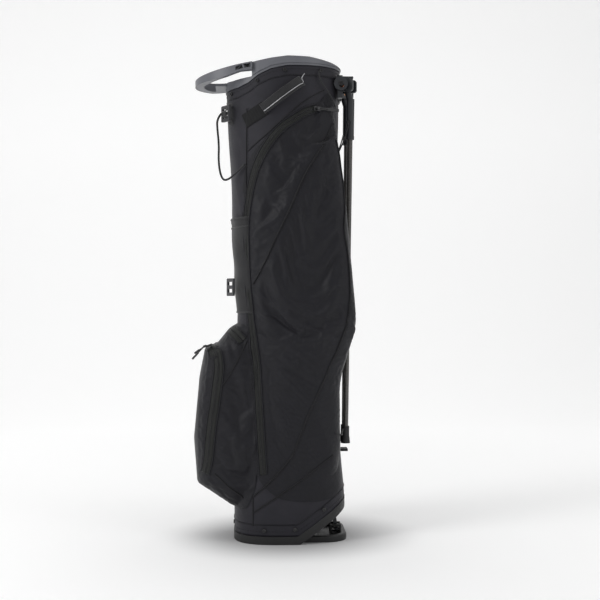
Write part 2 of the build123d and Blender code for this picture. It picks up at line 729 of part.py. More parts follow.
def main():
    save("base_tray", make_base_tray())
    save("foot_ring", make_foot_ring())
    save("foot_pins", make_foot_pins())
    save("base_screws", make_base_screws())
    save("bag_tube", make_bag_tube())
    save("divider_front", make_divider(DIVIDER_X[0], 5.0))
    save("divider_rear", make_divider(DIVIDER_X[1], 26.0))
    for name, stay in make_stays().items():
        save(name, stay)
    save("collar", make_collar())
    save("rim_handle", make_rim_handle())
    save("top_divider", make_top_divider())
    save("mechanism_cover", make_mechanism_cover())
    save("collar_screws", make_collar_screws())
    save("leg_yoke", make_leg_yoke())
    save("yoke_screws", make_yoke_screws())
    pieces = {
        "leg_socket": make_leg_socket(),
        "leg_tube": make_leg_tube(),
        "leg_boot": make_leg_boot(),
        "leg_rivet": make_leg_rivet(),
        "leg_pin": make_leg_pin(),
    }
    for name, piece in pieces.items():
        save(f"{name}_near", piece)
        save(f"{name}_far", mirrored(piece))
    save("push_rod", make_push_rod())
    save("crosshead", make_crosshead())
    save("rod_guides", make_rod_guides())
    save("drop_link", make_drop_link())

    save("ball_pocket", make_ball_pocket())
    pocket = make_side_pocket()
    save("side_pocket", pocket)
    save("side_zip", make_side_zip(pocket))
    save("ball_zip", on_ball_pocket(BALL_ZIP))
    save("shoulder_zip", near_side(on_ball_pocket(SHOULDER_ZIP)))
    save("bottle_sleeve", make_bottle_sleeve())
    save("sleeve_buckle", ladder_lock(facing(-97.5, -36, 472, radians(28)), 26, 33, 4))
    save("top_buckle", ladder_lock(facing(-106, -44, 795, radians(35)), 26, 30, 4.5))
    save("side_slider", make_side_slider())
    save("side_pull", make_side_pull())
    save("ball_slider", make_ball_slider())
    save("ball_pull", make_ball_pull())
    save("handle_patch", near_side(shell(1.6, GAP, 750, 820) & slab(PATCH)))
    save("grab_handle", webbing(GRAB, 20, 2.2, (-0.596, 0, 0.803)))
    save("shoulder_strap", make_shoulder_strap())
    save("hip_pad", shell(14, 0.5, 520, 690) & block((-25, 20, 500), (72, 150, 700)))
    save("tape_loop", cord(TAPE_LOOP, 2.0))
    save("tether_cord", cord(TETHER, 1.2))
    save("keeper_loop", cord(KEEPER, 1.3))
    push_wire = cord(PUSH_WIRE, 1.25)
    save("push_wire_near", push_wire)
    save("push_wire_far", mirrored(push_wire))
    save("leg_tab", make_leg_tab())


main()
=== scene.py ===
import json
import math

import bmesh
import bpy
import numpy as np
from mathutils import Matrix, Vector
from mathutils.bvhtree import BVHTree


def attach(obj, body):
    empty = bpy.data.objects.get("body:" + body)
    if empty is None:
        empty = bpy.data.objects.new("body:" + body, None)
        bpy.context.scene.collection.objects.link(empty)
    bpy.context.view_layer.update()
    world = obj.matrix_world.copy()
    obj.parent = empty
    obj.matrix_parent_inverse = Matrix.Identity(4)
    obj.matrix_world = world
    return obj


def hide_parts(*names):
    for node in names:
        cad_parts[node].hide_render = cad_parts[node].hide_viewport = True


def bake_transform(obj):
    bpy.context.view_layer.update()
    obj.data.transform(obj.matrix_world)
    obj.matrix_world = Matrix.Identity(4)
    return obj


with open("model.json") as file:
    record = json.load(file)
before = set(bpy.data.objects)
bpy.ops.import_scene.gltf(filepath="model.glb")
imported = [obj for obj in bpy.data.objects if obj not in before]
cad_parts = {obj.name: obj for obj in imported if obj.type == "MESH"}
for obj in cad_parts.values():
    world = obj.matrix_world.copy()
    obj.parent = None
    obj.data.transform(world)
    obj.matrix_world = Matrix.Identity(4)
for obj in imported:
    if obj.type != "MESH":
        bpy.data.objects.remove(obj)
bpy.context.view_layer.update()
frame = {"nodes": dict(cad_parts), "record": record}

MM = 0.001

# ---- the bag's soft shapes, in millimetres, as the CAD solids have them -------------

# Height, -X end, +X end, half width along Y, squareness, middle along Y.
TUBE = [
    (0, -92, 115, 88, 3.0, 0), (90, -92, 115, 88, 3.0, 0), (180, -91, 108, 88, 2.8, 0),
    (300, -89, 104, 88, 2.6, 0), (430, -86, 102.5, 88, 2.4, 0), (520, -92, 101.5, 89, 2.3, 0),
    (710, -101, 102.5, 90, 2.2, 0), (910, -111.5, 108.5, 92, 2.1, 0),
]
SIDE = [
    (98, -36, 109, 43, 2.4, -49), (214, -46, 104.5, 45, 2.3, -50), (300, -51, 104, 47, 2.2, -50),
    (352, -56, 121, 50, 2.2, -51), (402, -60, 136, 53, 2.2, -52), (520, -70, 125.5, 51, 2.2, -52),
    (610, -72, 117, 49, 2.2, -52), (690, -56, 108, 46, 2.2, -51), (750, -17, 99.5, 42, 2.2, -50),
    (818, 52, 91, 37, 2.2, -36),
]
BALL = [
    (68, -108, -60, 56, 2.6, 0), (106, -163, -60, 75, 3.0, 0), (190, -169, -60, 78, 3.2, 0),
    (300, -159, -60, 78, 3.2, 0), (357, -148.5, -60, 76, 3.2, 0),
    (365.5, -126.5, -60, 73.5, 3.0, 0), (402, -97, -60, 64, 2.6, 0),
]
FABRIC = 2.5
TUBE_COLS = 260
TUBE_GUESS = 105  # first guess of the tube's half length, before its cut edges are found
TRIM = 15.0  # the fabric's lower edge above the sole, and above the slope
HEEL_X = 28.0
SLOPE = math.radians(34.5)
RISE = TRIM / math.cos(SLOPE)
SIDE_Z = (78.0, 832.0)
BALL_Z = (60.0, 404.0)
BALL_MIDDLE_X = -55.0
UNDER_SIDE_Z = (82, 826)  # where the tube's folds stay flat, under each pocket
UNDER_BALL_Z = (66, 400)
POCKET_COLS = 130
POCKET_GAP = 0.9  # between a pocket's cloth and the tube
LEG_SPACE_Y = -50.5  # the side pocket stays on this side of the legs
POCKET_BACK_X = -48.0  # the ball pocket stays in front of this
CLOTH_FRAMES = 16
SLEEVE_Z = (425, 600)
SLEEVE_TURN = 0.86  # half of the angle that the sleeve spans
PULL_AT = np.array([57.0, -78.63, 799.0])  # on the tube, under the side pull's pivot
PULL_OUT = np.array([0.449643, -0.893208, 0.0])
PULL_SWEEP = np.array([50.0, -82.5, 795.0])
PULL_LIFT = 5.8
PULL_REACH = 62
FABRIC_TOP = [
    (-140, 838), (-85, 841), (-66, 848), (-48, 861), (-25, 871), (5, 877), (60, 879), (140, 882),
]

# Small parts on the fabric, in metres: a stitch's length, width and height.
STITCH = (0.0029, 0.0007, 0.0005)
STITCH_STEP = 0.0042
HEM_STITCH = (0.003, 0.0007, 0.0005)
HEM_STEP = 0.0044
RIBBON_LIFT = 0.0003
RIBBON_SINK = 0.0004
PIPING_LIFT = 0.45  # of the cord's radius
ROUND_SIDES = 10

# Seams in side view: X and Z.
DIAGONAL_SEAM = [
    (90, 775), (75, 740), (60, 716), (35, 674), (7, 610), (-20, 554), (-39, 512), (-57, 478),
]
RIGHT_SEAM = [
    (95, 744), (103, 707), (110, 649), (110, 574), (116, 535), (120, 492), (118, 428), (114, 409),
    (103, 374), (86, 335), (65, 287), (42, 237), (31, 208), (13, 164), (-4, 141), (-29, 114),
    (-57, 88),
]
BASE_SEAM = [(89, 163), (60, 142), (32, 120), (-6, 94), (-57, 58)]
FRONT_SEAM = [(-69, 800), (-69.5, 720), (-70, 600)]
LOW_SEAM = [(-58, 86), (-58, 60), (-58, 34)]
YOKE_SEAM = [(73, 836), (40, 815), (5, 786), (-30, 754), (-67, 722)]
SIDE_ZIP = [
    (57, 800), (38, 793), (21, 782), (0, 768), (-17, 751), (-34, 728), (-47, 704), (-56, 680),
    (-63, 650), (-68, 615), (-70, 583), (-69, 540), (-67, 480), (-62, 420), (-56, 370), (-51, 325),
    (-48, 270), (-45, 220), (-42, 170), (-39, 128),
]

BALL_SEAM = [(-69, 373), (-86, 337), (-103, 306), (-114, 291)]
BALL_LOW_SEAM = [(-128, 128), (-103, 105), (-76, 82)]
BALL_ZIP = [
    (-125, 352), (-122, 340), (-121, 316), (-126, 275), (-134, 220), (-140, 160), (-146, 128),
]
BALL_ZIP_TOP = [  # X and Y
    (-130, -62), (-134, -48), (-137, -25), (-138, 0), (-137, 25), (-134, 48), (-130, 62),
]
SHOULDER_ZIP = [(-100, 394), (-88, 384), (-77, 372)]

# Routes of the cords and straps, X, Y and Z.
BUCKLE_TAB = [
    (-98.2, -38.6, 816), (-100.5, -40.2, 808), (-106.5, -44.4, 802), (-111.3, -47.7, 799.5),
    (-112.2, -48.3, 795), (-111.3, -47.7, 790.5), (-106.5, -44.4, 788), (-100.5, -40.2, 783),
    (-97.8, -38.3, 776),
]
BUCKLE_TAB_ACROSS = (-0.574, 0.819, 0)
TAPE_LOOP = [
    (-116.4, -43, 796), (-125, -42, 786), (-124, -43, 766), (-121, -43.5, 737), (-122, -43, 708),
    (-119, -44, 684), (-113, -46, 671), (-104, -50, 672), (-95, -56, 678), (-85, -64, 687),
    (-73, -71, 698),
]
TETHER = [
    (63, -82, 869), (63.5, -82.5, 859), (67, -81, 849), (75, -76, 840), (83, -72, 830),
    (90, -65, 818), (95.5, -58.5, 806),
]
KEEPER = [
    (94, -78, 203), (101, -71.5, 200), (107.5, -62, 197.5), (108.5, -50, 197), (109, -40, 199),
    (111.5, -30, 201), (113.2, -19.7, 203),
]
PUSH_WIRE = [
    (121.3, -45.8, 780), (118.5, -45.2, 766), (113.5, -43, 750), (107.5, -38, 735),
    (101.5, -31, 722), (97, -25, 713.5), (94, -21.6, 708),
]
GRAB = [
    (-41, -90.2, 796), (-29, -97, 804), (-11, -105, 817), (8, -105.5, 831), (23, -99, 842.5),
    (31, -92.5, 848.5),
]
GRAB_ACROSS = (-0.596, 0, 0.803)
HANDLE_PATCH = [(-73, 777), (-54, 788), (-36, 799)]
SHINE_TAIL = [(31, -93.5, 853), (36, -92, 862)]
STRAP = [
    (-67, 82.5, 826), (-66, 92, 800), (-72, 108, 755), (-75, 117, 700), (-76, 119, 640),
    (-75, 113, 580), (-71, 99, 530), (-66, 82, 492), (-63, 74.5, 470),
]

# Ribs inside the lift handle's windows: outlines in side view and their places along Y.
HANDLE_RIBS = [
    [(-89.5, 869), (-88, 868.6), (-79.4, 877.4), (-80.6, 878.2)],
    [(-76, 877.6), (-74.6, 878.2), (-67, 872.6), (-68.6, 872.2)],
    [(-66.5, 872.4), (-65, 872.8), (-63.2, 880), (-64.6, 880.6)],
]
RIB_Y = (79.5, 81.5, 82.0)
# A sheet behind the ribs, drawn dark as painted shade inside the handle's windows: its place along
# Y and its outline in side view.
WEB_Y = (77.2, 78.6)
HANDLE_WEB = [(-91, 867), (-62, 872.6), (-62, 881.5), (-91, 875.6)]

# Folds in side view: start X and Z, end X and Z, half width, height (a valley is negative).
FOLDS = [
    (-44, 472, 108, 408, 9, 4.2), (-40, 460, 96, 386, 7, -3.2), (-40, 452, 34, 412, 6, 2.6),
    (-50, 424, -4, 404, 6, 2.2), (-46, 440, 20, 396, 6, -2.4), (-60, 500, 20, 520, 10, 1.8),
    (-62, 560, -10, 610, 9, 1.6), (-40, 640, 20, 700, 8, 1.4), (10, 620, 96, 560, 14, 2.0),
    (60, 700, 100, 610, 10, 1.8), (20, 500, 118, 470, 9, 2.2), (30, 470, 122, 436, 8, -2.4),
    (-10, 380, 90, 300, 10, 2.2), (-44, 360, 60, 250, 11, 1.8), (-40, 300, 10, 190, 9, 1.8),
    (-20, 340, 60, 290, 8, -1.8), (60, 240, 100, 120, 11, 2.0), (40, 200, 84, 100, 9, -1.6),
    (-70, 340, -56, 120, 6, -3.0), (-30, 160, 30, 110, 8, 1.6), (-20, 760, 60, 690, 9, 1.4),
    (90, 480, 132, 400, 7, -2.0), (100, 560, 126, 500, 8, 1.8), (-88, 700, -72, 560, 7, 1.6),
    (-96, 760, -76, 690, 7, -1.4), (70, 410, 136, 392, 7, 2.4), (-74, 90, 90, 84, 7, 1.2),
]


# ---- shapes from stations ----------------------------------------------------------

def station(rows, z, soften=16.0):
    """The values of a list of stations at heights z, with its corners rounded."""
    table = np.array(rows, float)
    shifts = np.linspace(-soften, soften, 9)
    values = []
    for k in range(1, table.shape[1]):
        values.append(np.mean([np.interp(z + s, table[:, 0], table[:, k]) for s in shifts], axis=0))
    return values


def oval_radius(a, b, power, angle):
    """Distance from the middle of a superellipse to its edge, at an angle."""
    c = np.abs(np.cos(angle)) / a
    s = np.abs(np.sin(angle)) / b
    return (c ** power + s ** power) ** (-1 / power)


def keep_out_of_tube(x, y, z):
    """Moves points that are inside the tube out to just off its surface."""
    left, right, half, power, _ = station(TUBE, z)
    middle = (left + right) / 2
    angle = np.arctan2(y, x - middle)
    surface = oval_radius((right - left) / 2, half, power, angle) + POCKET_GAP
    inside = np.hypot(x - middle, y) < surface
    x = np.where(inside, middle + surface * np.cos(angle), x)
    y = np.where(inside, surface * np.sin(angle), y)
    return x, y


def fold_height(x, z, folds, waves=0.35):
    """Height of the fabric's folds at side-view points, in millimetres."""
    broad = np.sin(x * 0.09 + z * 0.031) * np.sin(z * 0.052 - x * 0.023)
    total = waves * (broad + 0.6 * np.sin(z * 0.117 + x * 0.05))
    for x0, z0, x1, z1, width, height in folds:
        dx, dz = x1 - x0, z1 - z0
        along = ((x - x0) * dx + (z - z0) * dz) / (dx * dx + dz * dz)
        t = np.clip(along, 0, 1)
        away = np.hypot(x - x0 - t * dx, z - z0 - t * dz)
        away = away + 2.0 * np.sin(t * 5.0 + x0 * 0.1)
        fade = np.sin(np.pi * np.clip(t, 0.06, 0.94)) ** 0.6
        total = total + height * np.exp(-(away / width) ** 2) * fade
    return total


def placed(name, data):
    """A new object in the scene."""
    obj = bpy.data.objects.new(name, data)
    bpy.context.scene.collection.objects.link(obj)
    return obj


def from_bmesh(name, bm):
    """A new object from a finished bmesh."""
    mesh = bpy.data.meshes.new(name)
    bm.to_mesh(mesh)
    bm.free()
    return placed(name, mesh)


def lattice(name, points, closed=True, capped=False):
    """A mesh from rows of points; its UV map is in metres along and across the cloth."""
    rows, cols, _ = points.shape
    mesh = bpy.data.meshes.new(name)
    verts = [tuple(p) for p in (points.reshape(-1, 3) * MM)]
    faces = []
    wrap = cols if closed else cols - 1
    for i in range(rows - 1):
        for j in range(wrap):
            k = (j + 1) % cols
            faces.append((i * cols + j, i * cols + k, (i + 1) * cols + k, (i + 1) * cols + j))
    grid_faces = len(faces)
    for row in (0, rows - 1) if capped else ():
        verts.append(tuple(points[row].mean(axis=0) * MM))
        tip = len(verts) - 1
        for j in range(wrap):
            a, b = row * cols + j, row * cols + (j + 1) % cols
            faces.append((tip, b, a) if row == 0 else (tip, a, b))
    mesh.from_pydata(verts, [], faces)
    step_u = np.linalg.norm(np.roll(points, -1, axis=1) - points, axis=2).mean(axis=0)
    u = np.concatenate([[0], np.cumsum(step_u)]) * MM
    v = points[:, :, 2].mean(axis=1) * MM
    layer = mesh.uv_layers.new(name="cloth")
    for face in mesh.polygons:
        for n, loop in enumerate(face.loop_indices):
            if face.index < grid_faces:
                i, j = divmod(face.index, wrap)
                layer.data[loop].uv = (u[j + (n in (1, 2))], v[i + (n in (2, 3))])
            else:
                co = verts[mesh.loops[loop].vertex_index]
                layer.data[loop].uv = (co[0], co[1])
    mesh.polygons.foreach_set("use_smooth", [True] * len(mesh.polygons))
    return placed(name, mesh)


def outward(points):
    """Unit normals of rows of points that go round counter-clockwise, pointing out."""
    du = np.roll(points, -1, axis=1) - np.roll(points, 1, axis=1)
    dv = np.gradient(points, axis=0)
    normal = np.cross(du, dv)
    return normal / np.maximum(np.linalg.norm(normal, axis=2, keepdims=True), 1e-9)


def apply_modifiers(obj):
    """Bakes an object's modifiers into its mesh."""
    done = bpy.data.meshes.new_from_object(obj.evaluated_get(bpy.context.evaluated_depsgraph_get()))
    old = obj.data
    obj.modifiers.clear()
    obj.data = done
    bpy.data.meshes.remove(old)


def finish_piece(obj, slot, replaces=(), look=None):
    """Gives a piece of the bag its material, which is the slot's look unless another look is named.
    """
    obj.data.materials.clear()
    obj.data.materials.append(LOOKS[look or slot])
    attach(obj, "bag")
    if replaces:
        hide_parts(*replaces)
    return obj


def between(value, low, high, fade):
    """1 between two limits, falling to 0 at them over a distance."""
    return np.clip(np.minimum(value - low, high - value) / fade, 0, 1)


def under_pockets(x, y, z):
    """1 where a pocket's cloth lies on the tube, falling to 0 at the pocket's edges."""
    left, right, *_ = station(SIDE, z)
    beside = between(x, left, right, 10) * (y < LEG_SPACE_Y)
    beside = beside * between(z, *UNDER_SIDE_Z, 8)
    ahead = np.clip((POCKET_BACK_X - x) / 8, 0, 1) * between(z, *UNDER_BALL_Z, 8)
    return np.maximum(beside, ahead)


def make_tube():
    """The padded fabric tube: an outer and an inner skin, closed along the top and the bottom."""
    angle = np.linspace(0, 2 * np.pi, TUBE_COLS, endpoint=False)
    levels = np.linspace(0, 1, 230)
    top_x, top_z = np.array(FABRIC_TOP, float).T
    x = TUBE_GUESS * np.cos(angle)
    for _ in range(3):
        high = np.interp(x, top_x, top_z) - 0.3
        low = np.maximum(TRIM, (x - HEEL_X) * math.tan(SLOPE) + RISE) + 0.4
        z = low[None, :] + (high - low)[None, :] * levels[:, None]
        left, right, half, power, _ = station(TUBE, z)
        r = oval_radius((right - left) / 2, half, power, angle[None, :])
        px = (left + right) / 2 + r * np.cos(angle)[None, :]
        py = r * np.sin(angle)[None, :]
        x = px[-1]
    outer = np.stack([px, py, z], axis=2)
    normal = outward(outer)
    ease = np.minimum(np.minimum(levels / 0.03, (1 - levels) / 0.04), 1)[:, None]
    height = fold_height(px, z, FOLDS) * np.clip(-normal[:, :, 1] * 1.6, 0, 1)
    far_folds = fold_height(px * 0.7 + py, z * 1.03 + 60, FOLDS, 0.4)
    height = height + far_folds * np.clip(normal[:, :, 1] * 1.2, 0, 1)
    swell = 0.8 * np.sin(z * 0.035 + py * 0.03)
    height = height + swell * np.clip(np.abs(normal[:, :, 0]) - 0.2, 0, 1)
    height = np.where(height > 0, height * (1 - under_pockets(px, py, z)), height)
    outer = outer + normal * (np.minimum(height, 3.0) * ease)[:, :, None]
    inner = np.stack([px, py, z], axis=2) - normal * FABRIC
    lip = (outer[-1] + inner[-1]) / 2 + np.array([0, 0, 0.8])
    skin = np.concatenate([outer, lip[None], inner[::-1], outer[:1]], axis=0)
    obj = lattice("tube_fabric", skin)
    bm = bmesh.new()
    bm.from_mesh(obj.data)
    bmesh.ops.remove_doubles(bm, verts=bm.verts, dist=1e-6)
    bm.to_mesh(obj.data)
    bm.free()
    return finish_piece(obj, "fabric_panel", ["bag_tube"])


def rounded_ends(z, low, high, reach, low_reach=None):
    """Scale of a section near the ends of a soft form, so that they close roundly."""
    near = np.clip(np.minimum((z - low) / (low_reach or reach), (high - z) / reach), 0, 1)
    return np.sqrt(np.clip(1 - (1 - near) ** 2, 0, 1))


def from_lines(x, z, lines):
    """Distance in side view from points to the nearest of several lines."""
    best = np.full(x.shape, 1e9)
    for line in lines:
        for (x0, z0), (x1, z1) in zip(line, line[1:]):
            dx, dz = x1 - x0, z1 - z0
            t = np.clip(((x - x0) * dx + (z - z0) * dz) / (dx * dx + dz * dz), 0, 1)
            best = np.minimum(best, np.hypot(x - x0 - t * dx, z - z0 - t * dz))
    return best


def run_cloth(obj, loose, growth):
    """Lets cloth that is cut a little too large settle into folds between its seams."""
    group = obj.vertex_groups.new(name="seams")
    for i, value in enumerate(np.concatenate([loose.ravel(), [0, 0]])):
        group.add([i], 1.0 - float(value), "REPLACE")
    cloth = obj.modifiers.new("cloth", "CLOTH")
    cloth.settings.quality = 5
    cloth.settings.mass = 0.15
    cloth.settings.tension_stiffness = 30
    cloth.settings.compression_stiffness = 30
    cloth.settings.shear_stiffness = 12
    cloth.settings.bending_stiffness = 0.25
    cloth.settings.vertex_group_mass = "seams"
    cloth.settings.shrink_min = -growth
    cloth.collision_settings.use_collision = False
    scene = bpy.context.scene
    scene.frame_start = 1
    scene.frame_end = CLOTH_FRAMES
    for frame_number in range(1, CLOTH_FRAMES + 1):
        scene.frame_set(frame_number)
    apply_modifiers(obj)
    scene.frame_set(1)


def clear_of_tube(obj):
    """Moves a piece's vertices out of the tube."""
    count = len(obj.data.vertices)
    co = np.empty(count * 3)
    obj.data.vertices.foreach_get("co", co)
    co = co.reshape(-1, 3) / MM
    x, y = keep_out_of_tube(co[:, 0], co[:, 1], co[:, 2])
    co = np.stack([x, y, co[:, 2]], axis=1) * MM
    obj.data.vertices.foreach_set("co", co.ravel())
    obj.data.update()


def settle_cloth(obj, loose, growth):
    """The pocket's cloth, settled, kept off the tube and smoothed."""
    run_cloth(obj, loose, growth)
    clear_of_tube(obj)
    smooth = obj.modifiers.new("smooth", "SMOOTH")
    smooth.factor = 0.4
    smooth.iterations = 1
    finer = obj.modifiers.new("finer", "SUBSURF")
    finer.levels = 1
    apply_modifiers(obj)


def flatten_under_pull(obj):
    """Keeps the cloth below the plane that the clothing pocket's pull swings in."""
    for vertex in obj.data.vertices:
        place = np.array(vertex.co) / MM
        over = float((place - PULL_AT) @ PULL_OUT) - PULL_LIFT
        if over > 0 and np.linalg.norm(place - PULL_SWEEP) < PULL_REACH:
            vertex.co -= Vector(PULL_OUT * over) * MM


def make_side_pocket():
    """The long clothing pocket, lying on the tube and bulging beside the legs."""
    angle = np.linspace(0, 2 * np.pi, POCKET_COLS, endpoint=False)
    low, high = SIDE_Z
    z = (low + (high - low) * np.linspace(0, 1, 210))[:, None] + 0 * angle[None, :]
    left, right, half, power, mid_y = station(SIDE, z, 24)
    scale = rounded_ends(z, low, high, 34, 120)
    a = (right - left) / 2 * (0.25 + 0.75 * scale)
    b = half * (0.35 + 0.65 * scale)
    r = oval_radius(a, b, power, angle[None, :])
    px = (left + right) / 2 + r * np.cos(angle)[None, :]
    py = mid_y + r * np.sin(angle)[None, :]
    points = np.stack([px, py, z], axis=2)
    normal = outward(points)
    face = np.clip(-normal[:, :, 1] * 1.5 + 0.2, 0, 1)
    height = fold_height(px, z, FOLDS, 0.6) * face
    px = px + normal[:, :, 0] * height
    py = py + normal[:, :, 1] * height
    py = np.minimum(py, LEG_SPACE_Y)
    px, py = keep_out_of_tube(px, py, z)
    obj = lattice("side_pocket_fabric", np.stack([px, py, z], axis=2), capped=True)
    seams = [DIAGONAL_SEAM, RIGHT_SEAM, SIDE_ZIP, BASE_SEAM]
    loose = face * np.clip((from_lines(px, z, seams) - 4) / 14, 0, 1)
    loose = loose * np.clip(scale * 2 - 0.6, 0, 1)
    loose = loose * (0.35 + 0.65 * np.clip((z - 260) / 160, 0, 1))
    settle_cloth(obj, loose, 0.045)
    flatten_under_pull(obj)
    return finish_piece(obj, "fabric_pocket", ["side_pocket"])


BALL_FOLDS = [
    (-100, 396, -76, 330, 6, 2.4), (-92, 392, -66, 350, 5, -2.2), (-110, 380, -84, 300, 6, 2.0),
    (-84, 360, -70, 240, 6, 2.6), (-96, 330, -80, 180, 7, -2.0), (-100, 250, -76, 110, 7, 2.2),
    (-120, 140, -84, 80, 6, 2.2), (-130, 110, -96, 66, 5, -2.0), (-74, 200, -68, 90, 5, 2.0),
    (-112, 90, -80, 70, 5, 2.0), (-104, 402, -70, 386, 5, 1.6), (-150, 120, -120, 96, 6, 1.6),
]


def make_ball_pocket():
    """The ball pocket and the small pocket on its shoulder."""
    angle = np.linspace(0, 2 * np.pi, POCKET_COLS, endpoint=False)
    low, high = BALL_Z
    levels = [np.linspace(low, 350, 98), np.linspace(351, 368, 22), np.linspace(370, high, 14)]
    z = np.concatenate(levels)[:, None] + 0 * angle[None, :]
    left, _, half, power, mid_y = station(BALL, z, 3.5)
    scale = rounded_ends(z, low, high, 12)
    back = BALL_MIDDLE_X
    a = (back - left) * (0.6 + 0.4 * scale)
    r = oval_radius(a, half * (0.7 + 0.3 * scale), power, angle[None, :])
    px = back + r * np.cos(angle)[None, :]
    py = mid_y + r * np.sin(angle)[None, :]
    points = np.stack([px, py, z], axis=2)
    normal = outward(points)
    side = np.clip(np.abs(normal[:, :, 1]) * 1.5 - 0.2, 0, 1)
    height = fold_height(px, z, BALL_FOLDS, 0.5) * side
    front = np.clip(-normal[:, :, 0], 0, 1)
    height = height + 0.9 * front * np.sin(py * 0.06 + 1) * np.sin(z * 0.045)
    px = np.minimum(px + normal[:, :, 0] * height, POCKET_BACK_X)
    py = py + normal[:, :, 1] * height
    outer = px < POCKET_BACK_X - 1
    px, py = keep_out_of_tube(px, py, z)
    obj = lattice("ball_pocket_fabric", np.stack([px, py, z], axis=2), capped=True)
    seams = [BALL_SEAM, BALL_LOW_SEAM, BALL_ZIP, SHOULDER_ZIP]
    loose = side * np.clip((from_lines(px, z, seams) - 8) / 14, 0, 1)
    loose = loose * np.clip((px + 160) / 20, 0, 1) * scale * outer
    settle_cloth(obj, loose, 0.05)
    return finish_piece(obj, "fabric_pocket", ["ball_pocket"])


# ---- things that lie on the fabric -------------------------------------------------

def make_skin(objs):
    """A search tree over the faces of several pieces."""
    verts = []
    faces = []
    for obj in objs:
        base = len(verts)
        verts.extend(v.co.copy() for v in obj.data.vertices)
        faces.extend([base + i for i in f.vertices] for f in obj.data.polygons)
    return BVHTree.FromPolygons(verts, faces)


def seen_from(points, side=-1):
    """Side-view points, in millimetres, brought onto the fabric from the -Y or +Y side."""
    found = []
    for x, z in points:
        start = Vector((x * MM, side * 1.0, z * MM))
        hit = SKIN.ray_cast(start, Vector((0, -side, 0)))
        if hit[0] is not None:
            found.append(hit[0])
    return found


def smooth_line(points, step=0.002):
    """Evenly spaced points on a smooth curve through the given ones."""
    p = [Vector(v) for v in points]
    p = [p[0] * 2 - p[1]] + p + [p[-1] * 2 - p[-2]]
    dense = []
    for a, b, c, d in zip(p, p[1:], p[2:], p[3:]):
        for i in range(16):
            t = i / 16
            dense.append(0.5 * ((2 * b) + (c - a) * t + (2 * a - 5 * b + 4 * c - d) * t * t
                                + (3 * b - a - 3 * c + d) * t ** 3))
    dense.append(p[-2].copy())
    length = [0.0]
    for a, b in zip(dense, dense[1:]):
        length.append(length[-1] + (b - a).length)
    count = max(2, round(length[-1] / step))
    marks = np.linspace(0, length[-1], count + 1)
    array = np.array([tuple(v) for v in dense])
    even = np.stack([np.interp(marks, length, array[:, k]) for k in range(3)], axis=1)
    return [Vector(v) for v in even]


def outermost(skin, spot, normal):
    """The outermost place of the skin within 20 mm of a spot, looking from outside."""
    hit = skin.ray_cast(spot + normal * 0.02, -normal, 0.04)
    if hit[0] is None:
        hit = skin.find_nearest(spot)
    return hit[0], hit[1]


def on_skin(line):
    """A line brought onto the fabric, with the fabric's normal at each point."""
    places = []
    for point in line:
        normal = SKIN.find_nearest(point)[1]
        outside = Vector((point.x * 0.25 - 0.002, point.y, 0)).normalized()
        if normal.dot(outside) < 0:
            normal = -normal
        found, facing = outermost(SKIN, point, normal)
        if facing.dot(outside) < 0:
            facing = -facing
        places.append((found, facing))
    return places


def frame_along(places):
    """Point, normal and sideways direction at each place of a line on the skin."""
    result = []
    for i, (point, normal) in enumerate(places):
        ahead = places[min(i + 1, len(places) - 1)][0] - places[max(i - 1, 0)][0]
        around = [places[k][1] for k in range(max(i - 2, 0), min(i + 3, len(places)))]
        normal = sum(around, Vector()).normalized()
        across = normal.cross(ahead).normalized()
        result.append((point, normal, across))
    return result


def along_fabric(points):
    """Point, normal and sideways direction along a smooth line on the fabric."""
    return frame_along(on_skin(smooth_line(points)))


def ribbon(name, points, width, thick, ridges):
    """A flat band along a line on the fabric, closed underneath."""
    rows = []
    offsets = np.linspace(-0.5, 0.5, ridges)
    for point, normal, across in along_fabric(points):
        row = []
        for k, offset in enumerate(offsets):
            spot = outermost(SKIN, point + across * (offset * width), normal)[0]
            edge = 0.35 if k in (0, ridges - 1) else 1.0
            row.append(spot + normal * (RIBBON_LIFT + thick * edge))
        for offset in offsets[::-1]:
            spot = outermost(SKIN, point + across * (offset * width), normal)[0]
            row.append(spot - normal * RIBBON_SINK)
        rows.append([tuple(v / MM) for v in row])
    return lattice(name, np.array(rows), capped=True)


def tube_along(name, line, radius):
    """A round tube along a line of points in metres."""
    rows = []
    up = Vector((0.13, 0.31, 0.94))
    count = len(line)
    for i, point in enumerate(line):
        ahead = (line[min(i + 1, count - 1)] - line[max(i - 1, 0)]).normalized()
        first = ahead.cross(up).normalized()
        second = ahead.cross(first).normalized()
        row = []
        for k in range(ROUND_SIDES):
            turn = 2 * math.pi * k / ROUND_SIDES
            out = first * math.cos(turn) + second * math.sin(turn)
            row.append(tuple((point + out * radius) / MM))
        rows.append(row)
    return lattice(name, np.array(rows), capped=True)


def raised(name, places, lift, radius):
    """A round tube along a framed line, lifted off the surface."""
    return tube_along(name, [point + normal * lift for point, normal, _ in places], radius)


def beads(name, places, size):
    """Small rounded blocks, one at each place: point, normal, across."""
    bm = bmesh.new()
    long, wide, high = size
    for point, normal, across in places:
        ahead = across.cross(normal).normalized()
        corners = []
        for level, shrink in ((0.0, 1.0), (0.6, 0.95), (1.0, 0.55)):
            ring = []
            for u, v in ((-1, -1), (1, -1), (1, 1), (-1, 1)):
                spot = point + ahead * (u * long / 2 * shrink) + across * (v * wide / 2 * shrink)
                ring.append(bm.verts.new(spot + normal * (high * level)))
            corners.append(ring)
        bm.faces.new(corners[0][::-1])
        bm.faces.new(corners[2])
        for low, top in zip(corners, corners[1:]):
            for k in range(4):
                bm.faces.new((low[k], low[(k + 1) % 4], top[(k + 1) % 4], top[k]))
    return from_bmesh(name, bm)


